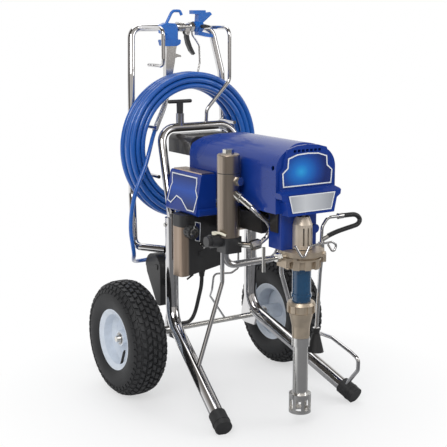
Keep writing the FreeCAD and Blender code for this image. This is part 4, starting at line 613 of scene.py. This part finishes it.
class SPRAYER_OT_hoses(bpy.types.Operator):
    """Makes the wound paint hose, the whip hose with its guard, the drain hose and the power cord"""
    bl_idname = "sprayer.hoses"
    bl_label = "Hoses and cord"

    def execute(self, context):
        size = sizes()
        turns = wound_points(place(4, 80.25, 690), X_WAY, Z_WAY, Y_WAY, radius=0.21625, pitch=0.0165, rise=0.0162,
                             per_layer=3, layers=4, start=300.0, per_turn=16)
        start = place(98.799, 80.25, 494.805)
        end = place(125.644, 128.85, 510.304)
        coil = route_curve("paint_hose", [start] + turns + [end], size.hose_diameter, "hose_blue", 6)
        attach(coil, "cart")
        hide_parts("hose_coil")

        whip_route = [(-38, 160, 866), (-38, 160, 838), (-60, 138, 806), (-104, 102, 762), (-134, 76, 732),
                      (-152, 59, 706), (-168, 48, 674), (-182, 44, 641), (-200, 41, 608), (-214, 40, 578),
                      (-223, 43, 542), (-228, 47, 502), (-229, 48, 458), (-221, 50, 416), (-210, 64, 386),
                      (-198, 92, 366), (-178, 124, 352), (-148, 143, 346), (-112, 146, 346), (-80, 138, 356),
                      (-50, 123, 377), (-20, 105, 404), (8, 89, 430), (38.618, 80.25, 459.053),
                      (62.691, 80.25, 473.354)]
        whip = route_curve("whip_hose_run", [place(*p) for p in whip_route], size.whip_diameter, "hose_blue", 10)
        guard = self.spring_guard(whip, size.whip_diameter)
        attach(whip, "cart")
        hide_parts("whip_hose")
        place(-38, 160, 866)

        drain_route = [(150, -440, 545), (172, -440, 545), (196, -441, 544), (210, -443, 530), (200, -446, 517),
                       (176, -446, 513), (148, -444, 508), (120, -442, 502), (98, -440, 494)]
        drain = route_curve("drain_hose_run", [place(*p) for p in drain_route], size.drain_diameter,
                            "hose_black", 10)
        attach(drain, "cart")
        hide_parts("drain_hose")
        place(150, -440, 545)

        rest = size.cord_diameter * 500 + 0.3
        power_route = [(-108, -142, 352.1), (-108, -142, 328.1), (-114, -135, 290), (-112, -114, 242),
                       (-105, -76, 204), (-104, -34, 188), (-108, 0, 181), (-118, 26, 168), (-138, 44, 132),
                       (-160, 62, 90), (-180, 84, 50), (-198, 108, 18), (-212, 132, rest), (-221, 156, rest)]
        wound = wound_points(place(-155, 190, rest), -X_WAY, Y_WAY, Z_WAY, radius=0.066, pitch=0.0118, rise=0.0118,
                             per_layer=2, layers=2, start=0.0, per_turn=12)
        tail = place(-221, 190, rest + 11.8) + Y_WAY * size.cord_diameter
        points = [place(*p) for p in power_route] + wound + [tail]
        cord = route_curve("power_cord_run", points, size.cord_diameter, "cord_black", 8)
        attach(cord, "cart")
        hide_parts("power_cord", "cord_coil")
        place(-108, -142, 352.1)
        return {"FINISHED"}

    def spring_guard(self, whip, diameter):
        """A close wound steel guard round the whip hose below the gun."""
        line = line_of(whip)
        reach, spots = 0.0, [(0.0, line[0])]
        for first, second in zip(line, line[1:]):
            reach += (second - first).length
            spots.append((reach, second))
        low, high, pitch, wire_radius, per_turn = 0.010, 0.175, 0.0034, 0.0013, 12
        radius = diameter / 2 + wire_radius

        def at(distance):
            for (d0, p0), (d1, p1) in zip(spots, spots[1:]):
                if d1 >= distance:
                    return p0.lerp(p1, (distance - d0) / (d1 - d0)), (p1 - p0).normalized()
            return spots[-1][1], (spots[-1][1] - spots[-2][1]).normalized()

        points, steps = [], int((high - low) / pitch * per_turn)
        for n in range(steps + 1):
            centre, way = at(low + (high - low) * n / steps)
            across = way.cross(X_WAY).normalized()
            up = way.cross(across).normalized()
            turn = 2 * math.pi * n / per_turn
            points.append(centre + across * (radius * math.cos(turn)) + up * (radius * math.sin(turn)))
        curve = bpy.data.curves.new("whip_guard", "CURVE")
        curve.dimensions = "3D"
        spline = curve.splines.new("POLY")
        spline.points.add(len(points) - 1)
        for knot, point in zip(spline.points, points):
            knot.co = (*point, 1.0)
        curve.bevel_depth, curve.bevel_resolution = wire_radius, 1
        wire = bpy.data.objects.new("whip_guard", curve)
        bpy.context.collection.objects.link(wire)
        only(wire)
        bpy.ops.object.convert(target="MESH")
        wire = bpy.context.object
        bpy.ops.object.shade_smooth()
        return settle(wire, "cart", "tube_steel")


class SPRAYER_OT_tyres(bpy.types.Operator):
    """Makes the two turf tyres with their tread blocks and valve stems"""
    bl_idname = "sprayer.tyres"
    bl_label = "Tyres"

    def execute(self, context):
        for side, name in ((-1, "left"), (1, "right")):
            self.carcass(side, name)
            self.stem(side, name)
        return {"FINISHED"}

    def spun(self, name, profile, centre, steps=96):
        """A closed outline of (across, radius) pairs turned round the axle."""
        deselect()
        bpy.ops.mesh.primitive_circle_add(vertices=len(profile), radius=0.01, fill_type="NOTHING")
        piece = added(name)
        for vertex, (across, radius) in zip(piece.data.vertices, profile):
            vertex.co = (centre.x + across, centre.y, centre.z + radius)
        only(piece)
        bpy.ops.object.mode_set(mode="EDIT")
        bpy.ops.mesh.select_all(action="SELECT")
        bpy.ops.mesh.spin(steps=steps, angle=2 * math.pi, center=centre, axis=(1, 0, 0))
        bpy.ops.mesh.select_all(action="SELECT")
        bpy.ops.mesh.remove_doubles(threshold=0.00002)
        bpy.ops.mesh.normals_make_consistent(inside=False)
        bpy.ops.object.mode_set(mode="OBJECT")
        only(piece)
        bpy.ops.object.shade_smooth_by_angle(angle=math.radians(50))
        return piece

    def row(self, centre, across, crown, tilt, width, length, phase, count, depth, root=0.004):
        """One tread block, shaped and then repeated round the tyre, with its root in the carcass."""
        deselect()
        bpy.ops.mesh.primitive_cube_add(size=1, location=(0, 0, 0))
        block = added("tread_block")
        only(block)
        bpy.ops.object.mode_set(mode="EDIT")
        bpy.ops.mesh.select_all(action="SELECT")
        bpy.ops.transform.resize(value=(width, length, depth + root), center_override=(0, 0, 0))
        bpy.ops.transform.translate(value=(0, 0, (depth - root) / 2))
        select_faces(block, Z_WAY)
        bpy.ops.transform.resize(value=(0.80, 0.86, 1), center_override=(0, 0, 0))
        bpy.ops.object.mode_set(mode="OBJECT")
        for vertex in block.data.vertices:
            skew = 0.0022 * math.copysign(1, vertex.co.x) * (1 if phase else -1)
            vertex.co.y += skew * (1 if across <= 0.001 else -1)
        block.data.transform(Matrix.Rotation(tilt, 4, "Y"))
        block.data.transform(Matrix.Translation((across, 0, crown)))
        block.data.transform(Matrix.Rotation(phase * math.pi / count, 4, "X"))
        mesh_parts = []
        graph = bmesh.new()
        for n in range(count):
            part = block.data.copy()
            part.transform(Matrix.Rotation(2 * math.pi * n / count, 4, "X"))
            graph.from_mesh(part)
            mesh_parts.append(part)
        graph.to_mesh(block.data)
        graph.free()
        for part in mesh_parts:
            bpy.data.meshes.remove(part)
        block.data.transform(Matrix.Translation(centre))
        return block

    def carcass(self, side, name):
        size = sizes()
        centre = Vector((side * WHEEL_OUT, MOVED_BACK, WHEEL_AXIS_Z))
        top = size.tyre_radius - size.tread_depth
        half = [(0.0, top), (0.018, top - 0.0006), (0.032, top - 0.0030), (0.041, top - 0.0085),
                (0.047, top - 0.0165), (0.051, top - 0.028), (0.0530, top - 0.040), (0.0515, top - 0.055),
                (0.047, top - 0.066), (0.0425, top - 0.0735), (0.0395, 0.0835), (0.0385, 0.0775)]
        inner = [(0.031, 0.0775), (0.034, 0.085), (0.044, 0.112), (0.036, 0.146), (0.0, 0.150)]
        profile = ([(-a, r) for a, r in reversed(half[1:])] + half
                   + inner + [(-a, r) for a, r in reversed(inner[:-1])])
        body = self.spun("turf_tyre_" + name, profile, centre)
        pieces = [body]
        depth, count = size.tread_depth, size.tread_blocks
        for across, drop, tilt, width, length, phase in (
                (0.0, 0.0, 0.0, 0.0125, 0.0165, 0), (0.0145, 0.0004, 0.06, 0.0125, 0.0165, 1),
                (0.0285, 0.0026, 0.30, 0.0120, 0.0165, 0), (0.0405, 0.0088, 0.72, 0.0125, 0.0160, 1),
                (0.0480, 0.0190, 1.10, 0.0130, 0.0150, 0)):
            for sign in ((1,) if across == 0 else (-1, 1)):
                shorter = depth * (1.0 if across < 0.04 else 0.62 if across < 0.045 else 0.42)
                pieces.append(self.row(centre, sign * across, top - drop - (0.001 if across > 0.02 else 0),
                                       sign * tilt, width, length, phase, count, shorter))
        deselect()
        for piece in pieces:
            piece.select_set(True)
        bpy.context.view_layer.objects.active = body
        bpy.ops.object.join()
        settle(body, "wheel_" + name, "tyre_rubber", "tyre_" + name)

    def stem(self, side, name):
        deselect()
        way = Vector((side * 0.28, 0, -1)).normalized()
        foot = Vector((side * (WHEEL_OUT + 0.020), MOVED_BACK - 0.014, WHEEL_AXIS_Z - 0.047))
        mid = foot + way * 0.0075
        turn = way.to_track_quat("Z", "Y").to_euler()
        bpy.ops.mesh.primitive_cylinder_add(vertices=24, radius=0.0039, depth=0.037, location=mid, rotation=turn)
        stem = added("valve_stem_" + name)
        only(stem)
        bpy.ops.object.mode_set(mode="EDIT")
        select_faces(stem, -Z_WAY)
        bpy.ops.mesh.inset(thickness=0.0012, depth=0)
        bpy.ops.mesh.extrude_region_move(TRANSFORM_OT_translate={"value": -way * 0.004})
        bpy.ops.object.mode_set(mode="OBJECT")
        edge_rounded(stem, 0.0005)
        settle(stem, "wheel_" + name, "cap_rubber")


class SPRAYER_OT_plates(bpy.types.Operator):
    """Makes the bare badge plates with their raised borders"""
    bl_idname = "sprayer.plates"
    bl_label = "Badge plates"

    def execute(self, context):
        border = sizes().plate_border
        half = [(0, 729), (34, 727), (62, 718), (64, 694), (80, 681), (77, 645), (0, 645)]
        around = half + [(-x, z) for x, z in reversed(half[1:-1])]
        motor = [place(x, MOTOR_PLATE_Y, z) for x, z in around]
        lower = [place(x, LOWER_PLATE_Y, z) for x, z in ((-74, 626), (74, 626), (62, 581), (-62, 581))]
        beside_knob = [place(x, SWITCH_PLATE_Y, z) for x, z in ((-150, 517), (-132, 512), (-134, 460), (-150, 464))]
        box_side = []
        for along, z in ((-186, 640), (-54, 640), (-62, 612), (-56, 600), (-50, 562), (-70, 556), (-96, 578),
                         (-122, 572), (-158, 548), (-194, 548), (-202, 590), (-190, 606), (-190, 622)):
            x = BOX_SIDE_X - BOX_SIDE_LEAN * (BOX_SIDE_TOP - z) / BOX_SIDE_HEIGHT
            box_side.append(place(x - PLATE_STAND_OFF, along, z - 0.25))
        for name, corners, rim, rim_height, facing, face in (
                ("motor_badge", motor, border, 0.0007, -Y_WAY, "badge_blue"),
                ("lower_badge", lower, border * 0.8, 0.0006, -Y_WAY, "badge_silver"),
                ("side_badge", box_side, border, 0.0006, -X_WAY, "side_badge_blue"),
                ("switch_panel", beside_knob, border * 0.55, 0.0004, -Y_WAY, "side_badge_blue")):
            settle(outline_plate(name, corners, rim, rim_height, facing), "cart", "plate_border", extra=(face,))
        self.knob_cap()
        self.filter_seam()
        return {"FINISHED"}

    def filter_seam(self):
        """The rolled edge where the filter's cap screws down on its bowl."""
        low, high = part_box("filter_cap")
        deselect()
        centre = ((low[0] + high[0]) / 2, (low[1] + high[1]) / 2, low[2])
        bpy.ops.mesh.primitive_torus_add(major_segments=72, minor_segments=10, location=centre,
                                         major_radius=(high[0] - low[0]) / 2, minor_radius=0.0007)
        seam = added("filter_seam")
        only(seam)
        bpy.ops.object.mode_set(mode="EDIT")
        bpy.ops.mesh.select_all(action="SELECT")
        bpy.ops.transform.resize(value=(1, 1, 1.6))
        bpy.ops.object.mode_set(mode="OBJECT")
        bpy.ops.object.shade_smooth()
        settle(seam, "cart", "dark_steel")

    def knob_cap(self):
        """A dished cap with a pointer on the pressure knob."""
        deselect()
        bpy.ops.mesh.primitive_cylinder_add(vertices=40, radius=0.0125, depth=0.002,
                                            location=place(KNOB_AXIS_X, KNOB_FACE_Y, KNOB_AXIS_Z),
                                            rotation=(math.radians(90), 0, 0))
        cap = added("knob_cap")
        only(cap)
        bpy.ops.object.transform_apply(location=True, rotation=True, scale=True)
        bpy.ops.object.mode_set(mode="EDIT")
        select_faces(cap, -Y_WAY)
        bpy.ops.mesh.inset(thickness=0.0016, depth=-0.0008)
        bpy.ops.mesh.inset(thickness=0.006, depth=0.0004)
        bpy.ops.object.mode_set(mode="OBJECT")
        edge_rounded(cap, 0.0004)
        settle(cap, "knob", "axle_steel")

        spot = place(*POINTER_SPOT)
        bpy.ops.mesh.primitive_cube_add(size=1, location=spot)
        pointer = added("knob_pointer")
        only(pointer)
        bpy.ops.object.mode_set(mode="EDIT")
        bpy.ops.mesh.select_all(action="SELECT")
        bpy.ops.transform.resize(value=(0.0022, 0.0012, 0.0075), center_override=spot)
        select_faces(pointer, Z_WAY)
        bpy.ops.transform.resize(value=(0.5, 1, 1), center_override=spot)
        bpy.ops.object.mode_set(mode="OBJECT")
        edge_rounded(pointer, 0.0002)
        settle(pointer, "knob", "plate_border")


class SPRAYER_OT_finishes(bpy.types.Operator):
    """Gives each carried-over solid the finish of its slot, or its own where it has two tones, a side with a
    painted reflection, or a lighter one
    """
    bl_idname = "sprayer.finishes"
    bl_label = "Finishes"

    def execute(self, context):
        own = {"drain_tube": "drain_line", "electric_box": "switch_case", "rod_cover": "champagne"}
        for part in frame["record"]["subparts"]:
            node = frame["nodes"][part["node"]]
            chosen = finish(own.get(part["node"], part["material_slot"]))
            if not node.data.materials:
                node.data.materials.append(chosen)
            for index in range(len(node.material_slots)):
                node.material_slots[index].material = chosen
        return {"FINISHED"}


class SPRAYER_OT_stage(bpy.types.Operator):
    """Makes the pale floor, the lamps and the soft sky"""
    bl_idname = "sprayer.stage"
    bl_label = "Stage and lamps"

    def execute(self, context):
        stage = context.scene.sprayer_stage
        deselect()
        bpy.ops.mesh.primitive_plane_add(size=30, location=(0, 0, -0.0004))
        floor = added("floor")
        floor.data.materials.append(self.pale_floor())
        for name, spot, aim, width, watts in (
                ("key_lamp", (-2.6, -2.2, 2.9), (0, 0, 0.5), 1.8, stage.key_watts),
                ("fill_lamp", (2.6, -1.9, 1.7), (0, 0, 0.5), 1.6, stage.fill_watts),
                ("top_lamp", (0.2, 0.9, 3.2), (0, 0, 0.4), 2.2, stage.top_watts)):
            data = bpy.data.lights.new(name, "AREA")
            data.energy, data.size = watts, width
            lamp = bpy.data.objects.new(name, data)
            lamp.location = spot
            lamp.rotation_euler = (Vector(aim) - Vector(spot)).to_track_quat("-Z", "Y").to_euler()
            context.collection.objects.link(lamp)
        self.sky(stage.sky)
        context.scene.view_settings.view_transform = "Standard"
        return {"FINISHED"}

    def pale_floor(self):
        """White floor that keeps the shadows near the machine and fades into the white behind it."""
        pale = Finish("floor_white")
        pale.give("Base Color", pale.mix(pale.noise(2, 2), (0.90, 0.90, 0.905), (0.92, 0.92, 0.925)))
        pale.give("Roughness", 0.65)
        x, y, _ = pale.axes()
        shadow_reach, fade, front_edge, front_fade = 0.30, 0.42, 0.35, 0.8
        away = (((x * x + y * y).root() - shadow_reach) / fade).clamp()
        front = ((front_edge - y) / front_fade).clamp()
        path = pale.node("ShaderNodeLightPath", out="Is Camera Ray")
        gloss = Val(pale, path.socket.node.outputs["Is Glossy Ray"])
        dim = pale.node("ShaderNodeEmission", {}, {"Color": (0.06, 0.06, 0.065), "Strength": 1.0})
        mirrored = pale.node("ShaderNodeMixShader", {}, {0: gloss * front * 0.85})
        pale.tree.links.new(pale.shader.outputs[0], mirrored.socket.node.inputs[1])
        pale.tree.links.new(dim.socket, mirrored.socket.node.inputs[2])
        white = pale.node("ShaderNodeEmission", {}, {"Color": (1.0, 1.0, 1.0), "Strength": 1.0})
        shown = path * (away * 0.45 + 0.55) + gloss * away * (1 - front)
        blend = pale.node("ShaderNodeMixShader", {}, {0: shown.clamp()})
        pale.tree.links.new(mirrored.socket, blend.socket.node.inputs[1])
        pale.tree.links.new(white.socket, blend.socket.node.inputs[2])
        out = next(n for n in pale.tree.nodes if n.type == "OUTPUT_MATERIAL")
        pale.tree.links.new(blend.socket, out.inputs[0])
        return pale.material

    def sky(self, strength):
        """White behind the machine, soft light all round, and a banded room for what mirrors it."""
        world = bpy.data.worlds.new("studio")
        bpy.context.scene.world = world
        world.use_nodes = True
        nodes, links = world.node_tree.nodes, world.node_tree.links
        nodes.clear()
        out = nodes.new("ShaderNodeOutputWorld")
        soft, seen = nodes.new("ShaderNodeBackground"), nodes.new("ShaderNodeBackground")
        soft.inputs[0].default_value = (0.96, 0.98, 1.0, 1)
        soft.inputs[1].default_value = strength
        direction, split = nodes.new("ShaderNodeTexCoord"), nodes.new("ShaderNodeSeparateXYZ")
        links.new(direction.outputs["Generated"], split.inputs[0])
        ramp = nodes.new("ShaderNodeValToRGB")
        depth, slant = (nodes.new("ShaderNodeMath") for _ in range(2))
        depth.operation = slant.operation = "MULTIPLY_ADD"
        links.new(split.outputs["Y"], depth.inputs[0])
        depth.inputs[1].default_value, depth.inputs[2].default_value = -0.40, 0.5
        links.new(split.outputs["X"], slant.inputs[0])
        slant.inputs[1].default_value = -0.12
        links.new(depth.outputs[0], slant.inputs[2])
        links.new(slant.outputs[0], ramp.inputs[0])
        stops = [(0.0, 1.0), (0.20, 0.95), (0.34, 0.22), (0.50, 0.06), (0.64, 0.07), (0.76, 0.50), (0.88, 0.62),
                 (1.0, 0.30)]
        while len(ramp.color_ramp.elements) < len(stops):
            ramp.color_ramp.elements.new(0.5)
        for element, (spot, value) in zip(ramp.color_ramp.elements, stops):
            element.position = spot
            element.color = (value, value * (0.9 + 0.1 * value), value * (0.8 + 0.2 * value), 1)
        shiny = nodes.new("ShaderNodeBackground")
        links.new(ramp.outputs[0], shiny.inputs[0])
        seen.inputs[0].default_value = (1, 1, 1, 1)
        path = nodes.new("ShaderNodeLightPath")
        first, second = nodes.new("ShaderNodeMixShader"), nodes.new("ShaderNodeMixShader")
        links.new(path.outputs["Is Glossy Ray"], first.inputs[0])
        links.new(soft.outputs[0], first.inputs[1])
        links.new(shiny.outputs[0], first.inputs[2])
        links.new(path.outputs["Is Camera Ray"], second.inputs[0])
        links.new(first.outputs[0], second.inputs[1])
        links.new(seen.outputs[0], second.inputs[2])
        links.new(second.outputs[0], out.inputs[0])


class SPRAYER_PT_panel(bpy.types.Panel):
    bl_idname = "SPRAYER_PT_panel"
    bl_label = "Paint sprayer"
    bl_space_type = "VIEW_3D"
    bl_region_type = "UI"
    bl_category = "Sprayer"

    def draw(self, context):
        for group in ("sprayer_sizes", "sprayer_colours", "sprayer_stage"):
            settings = getattr(context.scene, group)
            for name in settings.bl_rna.properties.keys():
                if name not in ("rna_type", "name"):
                    self.layout.prop(settings, name)
        for operator in OPERATORS:
            self.layout.operator(operator.bl_idname)


GROUPS = (SprayerSizes, SprayerColours, SprayerStage)
OPERATORS = (SPRAYER_OT_camera, SPRAYER_OT_hoses, SPRAYER_OT_tyres, SPRAYER_OT_plates, SPRAYER_OT_finishes,
             SPRAYER_OT_stage)


def register():
    for item in GROUPS + OPERATORS + (SPRAYER_PT_panel,):
        bpy.utils.register_class(item)
    bpy.types.Scene.sprayer_sizes = PointerProperty(type=SprayerSizes)
    bpy.types.Scene.sprayer_colours = PointerProperty(type=SprayerColours)
    bpy.types.Scene.sprayer_stage = PointerProperty(type=SprayerStage)


def unregister():
    del bpy.types.Scene.sprayer_sizes, bpy.types.Scene.sprayer_colours, bpy.types.Scene.sprayer_stage
    for item in reversed(GROUPS + OPERATORS + (SPRAYER_PT_panel,)):
        bpy.utils.unregister_class(item)


def main():
    register()
    bpy.ops.sprayer.camera()
    bpy.ops.sprayer.hoses()
    bpy.ops.sprayer.tyres()
    bpy.ops.sprayer.plates()
    bpy.ops.sprayer.finishes()
    bpy.ops.sprayer.stage()


if __name__ == "__main__":
    main()
